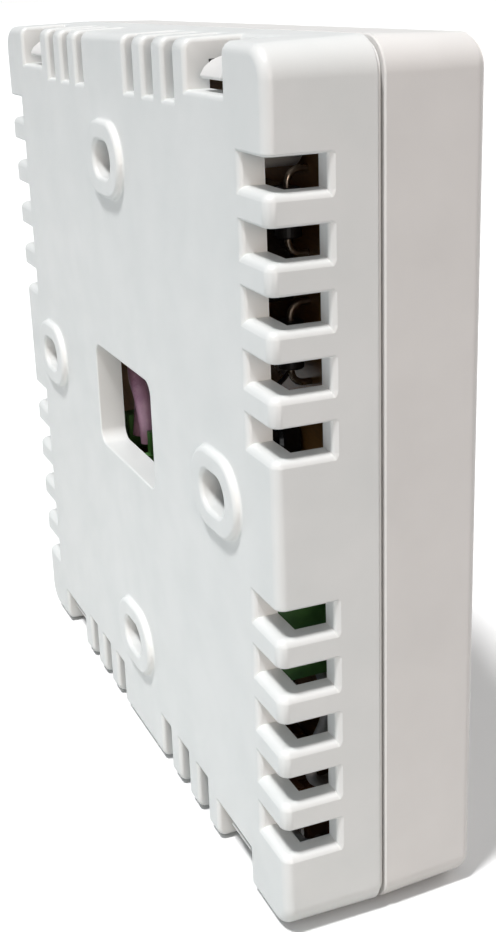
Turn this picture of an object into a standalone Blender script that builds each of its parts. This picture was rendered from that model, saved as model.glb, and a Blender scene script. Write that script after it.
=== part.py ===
"""Wall thermostat: a two-shell room controller for a 60 mm wall box, in Blender 4.5.

Frame: metres, +Z up, origin on the wall plane at the centre of the rear base.
The housing stands off the wall towards -Y. Sizes below are millimetres.
A depth is measured from the rear face of the base plate towards the room.
"""
import math

import bmesh
import bpy
from mathutils import Matrix, Vector

MM = 0.001
GAP = 0.3              # clearance between neighbouring pieces

# Housing
HALF = 44.0            # half of the housing's side at the parting line
DRAFT = 0.25           # each shell narrows by this much per side
CORNER = 3.3           # corner radius seen from the front
EDGE = 1.1             # rounding of the rear and front edges
BOSS_HEIGHT = 0.8      # the four bosses stand this far off the base plate
PARTING = 11.0         # depth of the parting line
PARTING_GAP = 0.54     # visible groove between the shells
SHELL_DEPTH = 21.8     # depth of the front cover's face
PLATE = 2.65           # thickness of the base plate
WALL = 2.0             # thickness of the side walls
FRONT_PLATE = 2.0      # thickness of the cover's face
COVER_INNER = SHELL_DEPTH - FRONT_PLATE
LIP = 0.9              # thickness of the base's lip behind the groove
LIP_LENGTH = 1.4       # how far the lip reaches past the parting line

# Vents around the rear edge, on one pitch of twelve positions per side
VENT_PITCH = 6.0
VENT_WIDTH = 3.05
VENT_LENGTH = 5.9      # on the base plate
VENT_DEPTH = 5.95      # on the side faces
SIDE_VENTS = (0, 1, 2, 3, 4, 7, 8, 9, 10, 11)
END_VENTS = (2, 3, 4, 7, 8, 9)
NOTCH_INNER = 25.6     # wide notches at the ends of the top and bottom rows
NOTCH_OUTER = 34.9
NOTCH_LENGTH = 4.7

# Rear fixing bosses and cable opening
FIXING_RADIUS = 30.0
BOSS_WIDTH = 11.9
BOSS_TALL = 8.7
BOSS_RIM = 0.5         # rounding of the boss's rim
SLOT_WIDTH = 6.2
SLOT_TALL = 4.1
OPENING_HALF = 10.2
OPENING_TOP = 6.1
OPENING_BOTTOM = -6.9
OPENING_CORNER = 1.6
COLLAR = 1.3           # width of the rim around the opening, inside
COLLAR_HEIGHT = 0.6

# Snap hooks of the front cover
HOOK_X = 30.6
HOOK_HALF = 2.6
HOOK_OUTER = 41.5
HOOK_THICK = 1.3
HOOK_TIP = 0.7
HOOK_CATCH = 5.6
HOOK_PEAK = 43.0
HOOK_RUN_IN = 3.5      # the arm leaves the side wall this far past the parting line

# Circuit board, cut away over the terminals and the cable opening
BOARD_HALF = 39.4
BOARD_BACK = 12.2
BOARD_THICK = 1.6
BOARD_FRONT = BOARD_BACK + BOARD_THICK
WINDOW_TOP = 8.5       # over the cable opening
WINDOW_LEFT = -15.0
WINDOW_RIGHT = 27.0
WINDOW_STEP = -4.6     # over the terminals, out to the board's left edge
WINDOW_BOTTOM = -21.0
POSTS = ((33.0, 33.0), (-24.0, 34.0), (-13.5, -34.0), (33.0, -33.0))
POST_RADIUS = 3.1
POST_BORE_FLOOR = 5.0
SCREW_SHANK = 1.2
SCREW_HEAD = 2.6
SCREW_LENGTH = 8.5

# Terminal strip
STRIP_LEFT = -36.5
STRIP_RIGHT = 25.5
STRIP_TOP = -8.6
STRIP_BOTTOM = -19.2
STRIP_BACK = PLATE + GAP
STRIP_FRONT = 11.6
POLE_PITCH = 8.2
POLES = 5
FIN_TOP = -5.6         # insulating fins between the poles
FIN_BACK = 5.2
FIN_HALF = 0.5
STRIP_MIDDLE = (STRIP_LEFT + STRIP_RIGHT) / 2
STRIP_Z = (STRIP_TOP + STRIP_BOTTOM) / 2
POCKET_HALF = 3.4      # the pocket of each clamp
POCKET_BACK = 4.2
POCKET_FRONT = 8.2
POCKET_BOTTOM = STRIP_BOTTOM + 1.6
WELL_RADIUS = 2.6      # the driver's way to each screw
WELL_FLOOR = 6.5
STRIP_POST_RADIUS = 2.2
STRIP_POST_TOP = 6.0
STRIP_SEAT = 8.5       # depth of the seats under the strip's two screws
STRIP_SHANK = 1.0
STRIP_HEAD = 2.2
LEAD_ENTRY = POCKET_BACK + 2.0
LEAD_RADIUS = 1.2

# Setting dial and its drive
DIAL_Z = 15.0
DIAL_RADIUS = 21.0
DIAL_BACK = SHELL_DEPTH + 0.4
DIAL_FRONT = SHELL_DEPTH + 5.8
DIAL_CHAMFER = 1.4
DIAL_HOLLOW = 18.8     # radius of the space for the limit rings
LIMIT_REST = 146.0     # rest angle of each limit finger, either side of the bottom
HUB_RADIUS = 5.0
HUB_END = COVER_INNER - 1.3
GROOVE_RADIUS = 4.2    # the retainer's groove in the hub
GROOVE_BACK = HUB_END + 0.15
GROOVE_FRONT = GROOVE_BACK + 0.9
RETAINER_RADIUS = 7.0
SPINDLE_HALF = 1.3
SPINDLE_END = 16.0
ROTOR_BACK = 15.2
ROTOR_FRONT = 16.9
ROTOR_RADIUS = 3.0
POTENTIOMETER_HALF = 6.0
POTENTIOMETER_FRONT = 16.6
RING_THICK = 1.2
STOP_HALF = 0.6        # half width of the dial's stop and of the limit fingers

# Rocker switch and lamp
ROCKER_X = 22.0
ROCKER_Z = -30.0
ROCKER_PIVOT = 18.0
ROCKER_TILT = 5.0      # tilt of the rocker in its off position
ROCKER_HALF = 4.0
ROCKER_TALL = 7.5
PIN_RADIUS = 0.5
PIN_HALF = 4.9
LAMP_X = -22.0
LAMP_Z = -30.0
LAMP_RADIUS = 1.5

SEGMENTS = 48


def depth_to_y(depth):
    """Room-ward depth from the base plate's rear face, as a Y coordinate."""
    return -(BOSS_HEIGHT + depth)


def clear_scene():
    for item in list(bpy.data.objects):
        bpy.data.objects.remove(item, do_unlink=True)


def linear(channel):
    if channel <= 0.04045:
        return channel / 12.92
    return ((channel + 0.055) / 1.055) ** 2.4


def plastic(name, colour, roughness=0.45, metallic=0.0):
    """A Principled material from an sRGB hex colour."""
    material = bpy.data.materials.new(name)
    material.use_nodes = True
    shader = material.node_tree.nodes["Principled BSDF"]
    rgb = [linear(int(colour[i:i + 2], 16) / 255) for i in (0, 2, 4)]
    shader.inputs["Base Color"].default_value = (*rgb, 1.0)
    shader.inputs["Roughness"].default_value = roughness
    shader.inputs["Metallic"].default_value = metallic
    return material


def make_object(name, mesh_data, material, origin=(0.0, 0.0, 0.0)):
    """Turn a bmesh in millimetres into a named object with its origin at `origin`."""
    bmesh.ops.translate(mesh_data, verts=mesh_data.verts, vec=-Vector(origin))
    bmesh.ops.scale(mesh_data, verts=mesh_data.verts, vec=(MM, MM, MM))
    bmesh.ops.recalc_face_normals(mesh_data, faces=mesh_data.faces)
    mesh = bpy.data.meshes.new(name)
    mesh_data.to_mesh(mesh)
    mesh_data.free()
    item = bpy.data.objects.new(name, mesh)
    item.location = Vector(origin) * MM
    bpy.context.scene.collection.objects.link(item)
    if material is not None:
        mesh.materials.append(material)
    return item


def rounded_outline(half_x, half_z, radius, steps=6):
    """Points of a rounded rectangle in the XZ plane, anticlockwise."""
    points = []
    corners = ((1, 1, 0), (-1, 1, 90), (-1, -1, 180), (1, -1, 270))
    for sign_x, sign_z, start in corners:
        centre_x = sign_x * (half_x - radius)
        centre_z = sign_z * (half_z - radius)
        for step in range(steps + 1):
            angle = math.radians(start + 90 * step / steps)
            points.append((centre_x + radius * math.cos(angle), centre_z + radius * math.sin(angle)))
    return points


def loft(sections):
    """Skin closed sections of equal length, each (depth, outline), and cap both ends."""
    shape = bmesh.new()
    rings = []
    for depth, outline in sections:
        rings.append([shape.verts.new((x, depth_to_y(depth), z)) for x, z in outline])
    for lower, upper in zip(rings, rings[1:]):
        count = len(lower)
        for i in range(count):
            shape.faces.new((lower[i], lower[(i + 1) % count], upper[(i + 1) % count], upper[i]))
    shape.faces.new(rings[0])
    shape.faces.new(list(reversed(rings[-1])))
    return shape


def prism(outline, depth_from, depth_to):
    return loft([(depth_from, outline), (depth_to, outline)])


def moved(outline, centre_x, centre_z):
    return [(x + centre_x, z + centre_z) for x, z in outline]


def add_block(shape, low, high):
    """Add an axis-aligned block, low and high being (x, depth, z)."""
    centre = [(a + b) / 2 for a, b in zip(low, high)]
    size = [abs(b - a) for a, b in zip(low, high)]
    middle = Vector((centre[0], depth_to_y(centre[1]), centre[2]))
    matrix = Matrix.Translation(middle) @ Matrix.Diagonal((*size, 1.0))
    bmesh.ops.create_cube(shape, size=1.0, matrix=matrix)


def block(low, high):
    shape = bmesh.new()
    add_block(shape, low, high)
    return shape


def turned(profile, centre_x, centre_z, segments=SEGMENTS):
    """Revolve a closed profile of (radius, depth) about the Y axis through a centre."""
    shape = bmesh.new()
    rings = []
    for radius, depth in profile:
        y = depth_to_y(depth)
        if radius == 0:
            rings.append([shape.verts.new((centre_x, y, centre_z))])
            continue
        ring = []
        for i in range(segments):
            angle = math.tau * i / segments
            place = (centre_x + radius * math.cos(angle), y, centre_z + radius * math.sin(angle))
            ring.append(shape.verts.new(place))
        rings.append(ring)
    pairs = list(zip(rings, rings[1:] + rings[:1]))
    for lower, upper in pairs:
        if len(lower) == 1 and len(upper) == 1:
            continue
        for i in range(segments):
            j = (i + 1) % segments
            if len(lower) == 1:
                shape.faces.new((lower[0], upper[j], upper[i]))
            elif len(upper) == 1:
                shape.faces.new((lower[i], lower[j], upper[0]))
            else:
                shape.faces.new((lower[i], lower[j], upper[j], upper[i]))
    return shape


def cylinder_along(axis, centre, radius, length, segments=32):
    """A plain cylinder centred on (x, depth, z) along 'x', 'y' or 'z'."""
    shape = bmesh.new()
    bmesh.ops.create_cone(shape, cap_ends=True, segments=segments, radius1=radius,
                          radius2=radius, depth=length)
    turns = {"x": Matrix.Rotation(math.radians(90), 4, "Y"),
             "y": Matrix.Rotation(math.radians(90), 4, "X"),
             "z": Matrix.Identity(4)}
    place = Matrix.Translation((centre[0], depth_to_y(centre[1]), centre[2]))
    bmesh.ops.transform(shape, matrix=place @ turns[axis], verts=shape.verts)
    return shape


def helper_object(name, shape):
    """A boolean helper, shown as a wire and never rendered."""
    helper = make_object(name, shape, None)
    helper.hide_render = True
    helper.display_type = "WIRE"
    return helper


def combine(target, name, shape, operation):
    """Boolean a millimetre bmesh, given in world place, into or out of a target."""
    modifier = target.modifiers.new(name, "BOOLEAN")
    modifier.operation = operation
    modifier.object = helper_object(name, shape)
    modifier.solver = "EXACT"


def soften(target, width, segments=2):
    modifier = target.modifiers.new("edges", "BEVEL")
    modifier.width = width * MM
    modifier.segments = segments
    modifier.limit_method = "ANGLE"
    modifier.angle_limit = math.radians(40)


def parent_to(child, parent):
    bpy.context.view_layer.update()
    child.parent = parent
    child.matrix_parent_inverse = parent.matrix_world.inverted()


def joint_frame(name, place):
    """An empty on a joint's axis, place being (x, depth, z)."""
    empty = bpy.data.objects.new(name, None)
    empty.empty_display_size = 5 * MM
    empty.location = (place[0] * MM, depth_to_y(place[1]) * MM, place[2] * MM)
    bpy.context.scene.collection.objects.link(empty)
    return empty


# ---------------------------------------------------------------- rear base

def housing_outline(inset):
    radius = max(CORNER - inset, 0.6)
    return rounded_outline(HALF - inset, HALF - inset, radius)


def rounded_edge(depth_at_face, direction, inset, steps=4):
    """Sections that round the edge between a flat face and the side walls."""
    sections = []
    for step in range(steps + 1):
        angle = math.radians(90 * step / steps)
        depth = depth_at_face + direction * EDGE * (1 - math.cos(angle))
        sections.append((depth, housing_outline(inset + EDGE * (1 - math.sin(angle)))))
    return sections


def vent_offset(position):
    return (5.5 - position) * VENT_PITCH


def base_vents():
    """L-shaped vents through the plate and the side walls, as one helper shape."""
    shape = bmesh.new()
    reach = HALF + 2
    rear = -2.0
    half = VENT_WIDTH / 2
    inner = HALF - DRAFT - VENT_LENGTH
    for sign in (-1, 1):
        for position in SIDE_VENTS:
            z = vent_offset(position)
            add_block(shape, (sign * inner, rear, z - half), (sign * reach, VENT_DEPTH, z + half))
        for position in END_VENTS:
            x = vent_offset(position)
            add_block(shape, (x - half, rear, sign * inner), (x + half, VENT_DEPTH, sign * reach))
        notch = HALF - DRAFT - NOTCH_LENGTH
        for side in (-1, 1):
            low = (side * NOTCH_INNER, rear, sign * notch)
            add_block(shape, low, (side * NOTCH_OUTER, VENT_DEPTH, sign * reach))
    return shape


def hook_channels():
    """Relief in the end walls so that the cover's hooks slide past the lip."""
    shape = bmesh.new()
    low = HALF - WALL - 0.6
    high = HOOK_PEAK + GAP
    half = HOOK_HALF + 0.5
    for sign in (-1, 1):
        for side in (-1, 1):
            x = side * HOOK_X
            add_block(shape, (x - half, VENT_DEPTH - 0.5, sign * low),
                      (x + half, PARTING + LIP_LENGTH + 1, sign * high))
    return shape


def fixing_places():
    return [(0, FIXING_RADIUS), (0, -FIXING_RADIUS), (FIXING_RADIUS, 0), (-FIXING_RADIUS, 0)]


def make_rear_base():
    inner = DRAFT + WALL
    sections = rounded_edge(0.0, 1, DRAFT)
    sections.append((PARTING - PARTING_GAP / 2, housing_outline(0.0)))
    sections.append((PARTING - PARTING_GAP / 2, housing_outline(WALL - LIP)))
    sections.append((PARTING + LIP_LENGTH, housing_outline(WALL - LIP)))
    sections.append((PARTING + LIP_LENGTH, housing_outline(WALL)))
    sections.append((PLATE, housing_outline(inner)))
    base = make_object("rear_base", loft(sections), plastic("base_plastic", "DDE0E0", 0.42))

    steps = 8
    for number, (x, z) in enumerate(fixing_places(), 1):
        wide = moved(rounded_outline(BOSS_WIDTH / 2, BOSS_TALL / 2, BOSS_TALL / 2 - 0.05, steps), x, z)
        narrow = moved(rounded_outline(BOSS_WIDTH / 2 - BOSS_RIM, BOSS_TALL / 2 - BOSS_RIM,
                                       BOSS_TALL / 2 - BOSS_RIM - 0.05, steps), x, z)
        boss = loft([(0.5, wide), (BOSS_RIM - BOSS_HEIGHT, wide), (-BOSS_HEIGHT, narrow)])
        combine(base, "boss_%d" % number, boss, "UNION")

    middle_z = (OPENING_TOP + OPENING_BOTTOM) / 2
    half_z = (OPENING_TOP - OPENING_BOTTOM) / 2
    collar = rounded_outline(OPENING_HALF + COLLAR, half_z + COLLAR, OPENING_CORNER + COLLAR)
    combine(base, "opening_collar",
            prism(moved(collar, 0, middle_z), PLATE - 0.5, PLATE + COLLAR_HEIGHT), "UNION")
    for number, (x, z) in enumerate(POSTS, 1):
        combine(base, "board_post_%d" % number,
                turned([(0, PLATE - 0.5), (POST_RADIUS, PLATE - 0.5),
                        (POST_RADIUS, BOARD_BACK - GAP), (0, BOARD_BACK - GAP)], x, z, 24), "UNION")
    for number, x in enumerate(strip_fixings(), 1):
        combine(base, "strip_post_%d" % number,
                turned([(0, PLATE - 0.5), (STRIP_POST_RADIUS, PLATE - 0.5),
                        (STRIP_POST_RADIUS, STRIP_POST_TOP), (0, STRIP_POST_TOP)],
                       x, STRIP_Z, 24), "UNION")

    combine(base, "vents", base_vents(), "DIFFERENCE")
    combine(base, "hook_channels", hook_channels(), "DIFFERENCE")
    opening = rounded_outline(OPENING_HALF, half_z, OPENING_CORNER)
    combine(base, "cable_opening", prism(moved(opening, 0, middle_z), -2, PLATE + 2), "DIFFERENCE")
    for number, (x, z) in enumerate(fixing_places(), 1):
        slot = rounded_outline(SLOT_WIDTH / 2, SLOT_TALL / 2, SLOT_TALL / 2 - 0.05, steps)
        combine(base, "fixing_slot_%d" % number, prism(moved(slot, x, z), -2, PLATE + 1), "DIFFERENCE")
    for number, (x, z) in enumerate(POSTS, 1):
        bore = SCREW_SHANK + GAP
        combine(base, "post_bore_%d" % number,
                turned([(0, POST_BORE_FLOOR), (bore, POST_BORE_FLOOR), (bore, BOARD_BACK + 1),
                        (0, BOARD_BACK + 1)], x, z, 24), "DIFFERENCE")
    for number, x in enumerate(strip_fixings(), 1):
        bore = STRIP_SHANK + GAP
        floor = PLATE + 0.75
        combine(base, "strip_bore_%d" % number,
                turned([(0, floor), (bore, floor), (bore, STRIP_POST_TOP + 1),
                        (0, STRIP_POST_TOP + 1)], x, STRIP_Z, 24), "DIFFERENCE")


# -------------------------------------------------------------- front cover

def add_hook(shape, sign, side):
    """One snap hook: an arm along Y with a ramped catch facing the end wall."""
    inner = HOOK_OUTER - HOOK_THICK
    root = COVER_INNER + 0.5
    wall = HALF - WALL + 0.5
    leave = PARTING + HOOK_RUN_IN
    profile = [(root, inner), (HOOK_TIP, inner), (HOOK_TIP, HOOK_OUTER), (HOOK_CATCH, HOOK_PEAK),
               (HOOK_CATCH, HOOK_OUTER), (leave, HOOK_OUTER), (leave + 1.0, wall), (root, wall)]
    ends = []
    for x in (side * HOOK_X - HOOK_HALF, side * HOOK_X + HOOK_HALF):
        ends.append([shape.verts.new((x, depth_to_y(depth), sign * z)) for depth, z in profile])
    first, second = ends
    count = len(profile)
    for i in range(count):
        j = (i + 1) % count
        shape.faces.new((first[i], first[j], second[j], second[i]))
    shape.faces.new(first)
    shape.faces.new(list(reversed(second)))


def make_front_cover():
    front = SHELL_DEPTH
    rebate = WALL - LIP - GAP
    sections = rounded_edge(front, -1, DRAFT)
    sections.append((PARTING + PARTING_GAP / 2, housing_outline(0.0)))
    sections.append((PARTING + PARTING_GAP / 2, housing_outline(rebate)))
    sections.append((PARTING + LIP_LENGTH + GAP, housing_outline(rebate)))
    sections.append((PARTING + LIP_LENGTH + GAP, housing_outline(WALL)))
    sections.append((COVER_INNER, housing_outline(WALL + DRAFT)))
    cover = make_object("front_cover", loft(sections), plastic("cover_plastic", "E2DFDC", 0.4))
    for sign in (-1, 1):
        for side in (-1, 1):
            hook = bmesh.new()
            add_hook(hook, sign, side)
            bmesh.ops.recalc_face_normals(hook, faces=hook.faces)
            combine(cover, "snap_hook_%s_%s" % ("top" if sign > 0 else "bottom",
                                                "left" if side > 0 else "right"), hook, "UNION")
    below = COVER_INNER - 2
    above = front + 2
    bore = HUB_RADIUS + GAP
    combine(cover, "hub_bore", turned([(0, below), (bore, below), (bore, above), (0, above)],
                                      0, DIAL_Z), "DIFFERENCE")
    window = rounded_outline(ROCKER_HALF + 0.5, ROCKER_TALL + 0.7, 0.8)
    combine(cover, "rocker_window",
            prism(moved(window, ROCKER_X, ROCKER_Z), below, above), "DIFFERENCE")
    hole = LAMP_RADIUS + GAP
    combine(cover, "lamp_hole", turned([(0, below), (hole, below), (hole, above), (0, above)],
                                       LAMP_X, LAMP_Z, 24), "DIFFERENCE")


# ---------------------------------------------------------- board and parts

def make_board():
    outline = rounded_outline(BOARD_HALF, BOARD_HALF, 2.0, 4)
    board = make_object("main_board", prism(outline, BOARD_BACK, BOARD_FRONT),
                        plastic("board_laminate", "6B3F22", 0.5))
    window = [(-BOARD_HALF - 2, WINDOW_BOTTOM), (WINDOW_RIGHT, WINDOW_BOTTOM),
              (WINDOW_RIGHT, WINDOW_TOP), (WINDOW_LEFT, WINDOW_TOP),
              (WINDOW_LEFT, WINDOW_STEP), (-BOARD_HALF - 2, WINDOW_STEP)]
    combine(board, "terminal_window", prism(window, BOARD_BACK - 1, BOARD_FRONT + 1), "DIFFERENCE")
    for number, (x, z) in enumerate(POSTS, 1):
        combine(board, "board_hole_%d" % number,
                turned([(0, BOARD_BACK - 1), (SCREW_SHANK + 0.4, BOARD_BACK - 1),
                        (SCREW_SHANK + 0.4, BOARD_FRONT + 1), (0, BOARD_FRONT + 1)], x, z, 24),
                "DIFFERENCE")


def pan_head_screw(name, x, z, head_depth, length, head, shank, material):
    """A pan-head screw driven from the room side, head standing at `head_depth`."""
    height = 0.55 * head
    profile = [(0, head_depth - length), (shank * 0.6, head_depth - length),
               (shank, head_depth - length + 0.8), (shank, head_depth), (head, head_depth),
               (head, head_depth + height * 0.45), (head * 0.75, head_depth + height * 0.85),
               (0, head_depth + height)]
    screw = make_object(name, turned(profile, x, z, 24), material,
                        (x, depth_to_y(head_depth), z))
    cross = bmesh.new()
    half = head * 0.14
    top = head_depth + height
    add_block(cross, (x - head * 0.55, top - height * 0.5, z - half),
              (x + head * 0.55, top + 1, z + half))
    combine(screw, name + "_slot", cross, "DIFFERENCE")


def make_board_screws():
    steel = plastic("zinc_screw", "B9BBBC", 0.3, 1.0)
    for number, (x, z) in enumerate(POSTS, 1):
        pan_head_screw("board_screw_%d" % number, x, z, BOARD_FRONT + GAP, SCREW_LENGTH,
                       SCREW_HEAD, SCREW_SHANK, steel)


def pole_places():
    first = STRIP_MIDDLE - POLE_PITCH * (POLES - 1) / 2
    return [first + POLE_PITCH * i for i in range(POLES)]


def fin_places():
    half = POLE_PITCH / 2
    return [pole_places()[0] - half] + [x + half for x in pole_places()]


def strip_fixings():
    return [STRIP_LEFT + 3.0, STRIP_RIGHT - 3.0]


def make_terminal_strip():
    green = plastic("terminal_plastic", "3F5B33", 0.4)
    strip = make_object("terminal_strip",
                        block((STRIP_LEFT, STRIP_BACK, STRIP_BOTTOM),
                              (STRIP_RIGHT, STRIP_FRONT, STRIP_TOP)), green,
                        (STRIP_MIDDLE, depth_to_y((STRIP_BACK + STRIP_FRONT) / 2), STRIP_Z))
    above = STRIP_FRONT + 1
    for number, x in enumerate(fin_places(), 1):
        combine(strip, "pole_fin_%d" % number,
                block((x - FIN_HALF, FIN_BACK, STRIP_TOP - 1.0), (x + FIN_HALF, STRIP_FRONT, FIN_TOP)),
                "UNION")
    for number, x in enumerate(pole_places(), 1):
        combine(strip, "pole_pocket_%d" % number,
                block((x - POCKET_HALF, POCKET_BACK, POCKET_BOTTOM),
                      (x + POCKET_HALF, POCKET_FRONT, STRIP_TOP + 2)), "DIFFERENCE")
        combine(strip, "pole_well_%d" % number,
                turned([(0, WELL_FLOOR), (WELL_RADIUS, WELL_FLOOR), (WELL_RADIUS, above), (0, above)],
                       x, STRIP_Z, 32), "DIFFERENCE")
    steel = plastic("strip_screw_steel", "B9BBBC", 0.3, 1.0)
    for number, x in enumerate(strip_fixings(), 1):
        socket = STRIP_POST_RADIUS + GAP
        hole = STRIP_SHANK + 0.5
        shape = turned([(0, STRIP_BACK - 1), (socket, STRIP_BACK - 1), (socket, STRIP_POST_TOP + GAP),
                        (hole, STRIP_POST_TOP + GAP), (hole, STRIP_SEAT), (WELL_RADIUS, STRIP_SEAT),
                        (WELL_RADIUS, above), (0, above)], x, STRIP_Z, 32)
        combine(strip, "strip_hole_%d" % number, shape, "DIFFERENCE")
        pan_head_screw("strip_screw_%d" % number, x, STRIP_Z, STRIP_SEAT + GAP, 5.0,
                       STRIP_HEAD, STRIP_SHANK, steel)


def make_terminal_clamps():
    """Each pole: a brass barrel in its pocket and the screw that closes it."""
    brass = plastic("clamp_brass", "B79A55", 0.35, 1.0)
    steel = plastic("terminal_screw_steel", "C2C3C2", 0.3, 1.0)
    wall = 0.8
    for number, x in enumerate(pole_places(), 1):
        low = (x - POCKET_HALF + GAP, POCKET_BACK + GAP, POCKET_BOTTOM + GAP)
        high = (x + POCKET_HALF - GAP, POCKET_FRONT - GAP, STRIP_TOP - 1.4)
        centre = ((low[0] + high[0]) / 2, depth_to_y((low[1] + high[1]) / 2), (low[2] + high[2]) / 2)
        clamp = make_object("terminal_clamp_%d" % number, block(low, high), brass, centre)
        combine(clamp, "clamp_mouth_%d" % number,
                block((low[0] + wall, low[1] + wall, low[2] - 1),
                      (high[0] - wall, high[1] - wall + 0.1, high[2] + 1)), "DIFFERENCE")
        combine(clamp, "clamp_thread_%d" % number,
                turned([(0, WELL_FLOOR), (1.5, WELL_FLOOR), (1.5, 9), (0, 9)], x, STRIP_Z, 24),
                "DIFFERENCE")
        pan_head_screw("terminal_screw_%d" % number, x, STRIP_Z, POCKET_FRONT + GAP, 1.9, 2.2, 1.15,
                       steel)


def make_relay():
    black = plastic("relay_case", "15120F", 0.25)
    low = (-24.0, 3.6, 17.0)
    high = (-7.5, BOARD_BACK - GAP, 29.0)
    centre = ((low[0] + high[0]) / 2, depth_to_y((low[1] + high[1]) / 2), (low[2] + high[2]) / 2)
    relay = make_object("relay", block(low, high), black, centre)
    soften(relay, 0.5)


def rolled_can(name, centre, radius, length, material):
    """A capacitor can along X, with a rolled groove near its terminal end."""
    groove = 0.35
    half = length / 2
    stations = [(-half, radius - 0.6), (-half + 0.6, radius), (half - 3.0, radius),
                (half - 2.6, radius - groove), (half - 2.2, radius), (half - 0.5, radius),
                (half, radius - 0.5)]
    shape = bmesh.new()
    rings = []
    y = depth_to_y(centre[1])
    for offset, ring_radius in stations:
        ring = []
        for i in range(32):
            angle = math.tau * i / 32
            across = ring_radius * math.cos(angle)
            up = ring_radius * math.sin(angle)
            ring.append(shape.verts.new((centre[0] + offset, y + across, centre[2] + up)))
        rings.append(ring)
    for lower, upper in zip(rings, rings[1:]):
        for i in range(32):
            j = (i + 1) % 32
            shape.faces.new((lower[i], lower[j], upper[j], upper[i]))
    shape.faces.new(rings[0])
    shape.faces.new(list(reversed(rings[-1])))
    make_object(name, shape, material, (centre[0], y, centre[2]))


def make_capacitors():
    sleeve = plastic("capacitor_sleeve", "14151A", 0.3)
    rolled_can("electrolytic_capacitor", (-17.5, 7.6, 11.6), 4.0, 15.0, sleeve)
    seat = BOARD_BACK - GAP
    can = [(0, 4.0), (3.5, 4.0), (4.0, 4.5), (4.0, seat - 2.8), (3.65, seat - 2.4),
           (4.0, seat - 2.0), (4.0, seat), (0, seat)]
    make_object("filter_capacitor", turned(can, -20.5, 1.5, 32), sleeve,
                (-20.5, depth_to_y(seat), 1.5))
    low = (-37.0, 5.4, -38.9)
    high = (-21.0, BOARD_BACK - GAP, -33.6)
    centre = ((low[0] + high[0]) / 2, depth_to_y((low[1] + high[1]) / 2), (low[2] + high[2]) / 2)
    film = make_object("film_capacitor", block(low, high),
                       plastic("capacitor_dip", "55281A", 0.35), centre)
    soften(film, 0.9, 3)


def make_varistor():
    blue = plastic("varistor_coat", "2B4C7A", 0.35)
    place = (14.5, 7.6, 20.0)
    disc = make_object("varistor", cylinder_along("z", place, 4.2, 3.2), blue,
                       (place[0], depth_to_y(place[1]), place[2]))
    soften(disc, 0.8, 3)


def make_chip():
    black = plastic("chip_epoxy", "1A1A1B", 0.5)
    low = (-18.0, BOARD_FRONT + GAP, 21.0)
    high = (-10.0, BOARD_FRONT + 2.2, 31.0)
    centre = ((low[0] + high[0]) / 2, depth_to_y((low[1] + high[1]) / 2), (low[2] + high[2]) / 2)
    chip = make_object("controller_chip", block(low, high), black, centre)
    soften(chip, 0.2, 1)


def make_diodes():
    """Two rectifier diodes standing off the board behind the upper side vents."""
    black = plastic("diode_epoxy", "1D1D1E", 0.4)
    for number, z in ((1, 26.7), (2, 13.2)):
        place = (-26.6, BOARD_BACK - 2.2, z)
        diode = make_object("diode_%d" % number, cylinder_along("z", place, 1.35, 5.0, 24), black,
                            (place[0], depth_to_y(place[1]), place[2]))
        soften(diode, 0.2, 2)


def make_resistors():
    """Axial resistors lying along X under the lower arm of the board."""
    beige = plastic("resistor_coat", "B08A63", 0.4)
    body = [(0.0, -3.2), (0.9, -3.2), (1.25, -2.6), (1.25, -1.7), (1.0, -1.2),
            (1.0, 1.2), (1.25, 1.7), (1.25, 2.6), (0.9, 3.2), (0.0, 3.2)]
    lie_down = Matrix.Rotation(math.radians(90), 4, "Z")
    home = Matrix.Translation((0, BOSS_HEIGHT, 0))
    for number in range(3):
        centre = (-6.0, depth_to_y(BOARD_BACK - GAP - 1.35), -24.0 - 3.4 * number)
        shape = turned(body, 0, 0, 20)
        bmesh.ops.transform(shape, matrix=Matrix.Translation(centre) @ lie_down @ home, verts=shape.verts)
        make_object("resistor_%d" % (number + 1), shape, beige, centre)


def make_sensor():
    """Bead thermistor that samples the air drawn in through the lower vents."""
    black = plastic("sensor_epoxy", "20211F", 0.35)
    shape = bmesh.new()
    bmesh.ops.create_uvsphere(shape, u_segments=20, v_segments=12, radius=1.5)
    centre = Vector((26.0, depth_to_y(8.0), -29.0))
    squash = Matrix.Diagonal((1.0, 0.8, 1.3, 1.0))
    bmesh.ops.transform(shape, matrix=Matrix.Translation(centre) @ squash, verts=shape.verts)
    make_object("temperature_sensor", shape, black, tuple(centre))


def tube(name, points, radius, material):
    """A round insulated lead through points given as (x, depth, z)."""
    curve = bpy.data.curves.new(name, "CURVE")
    curve.dimensions = "3D"
    curve.bevel_depth = radius * MM
    curve.bevel_resolution = 4
    curve.resolution_u = 10
    curve.render_resolution_u = 0
    curve.use_fill_caps = True
    spline = curve.splines.new("BEZIER")
    spline.bezier_points.add(len(points) - 1)
    for knot, (x, depth, z) in zip(spline.bezier_points, points):
        knot.co = (x * MM, depth_to_y(depth) * MM, z * MM)
        knot.handle_left_type = "AUTO"
        knot.handle_right_type = "AUTO"
    lead = bpy.data.objects.new(name, curve)
    curve.materials.append(material)
    bpy.context.scene.collection.objects.link(lead)


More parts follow.
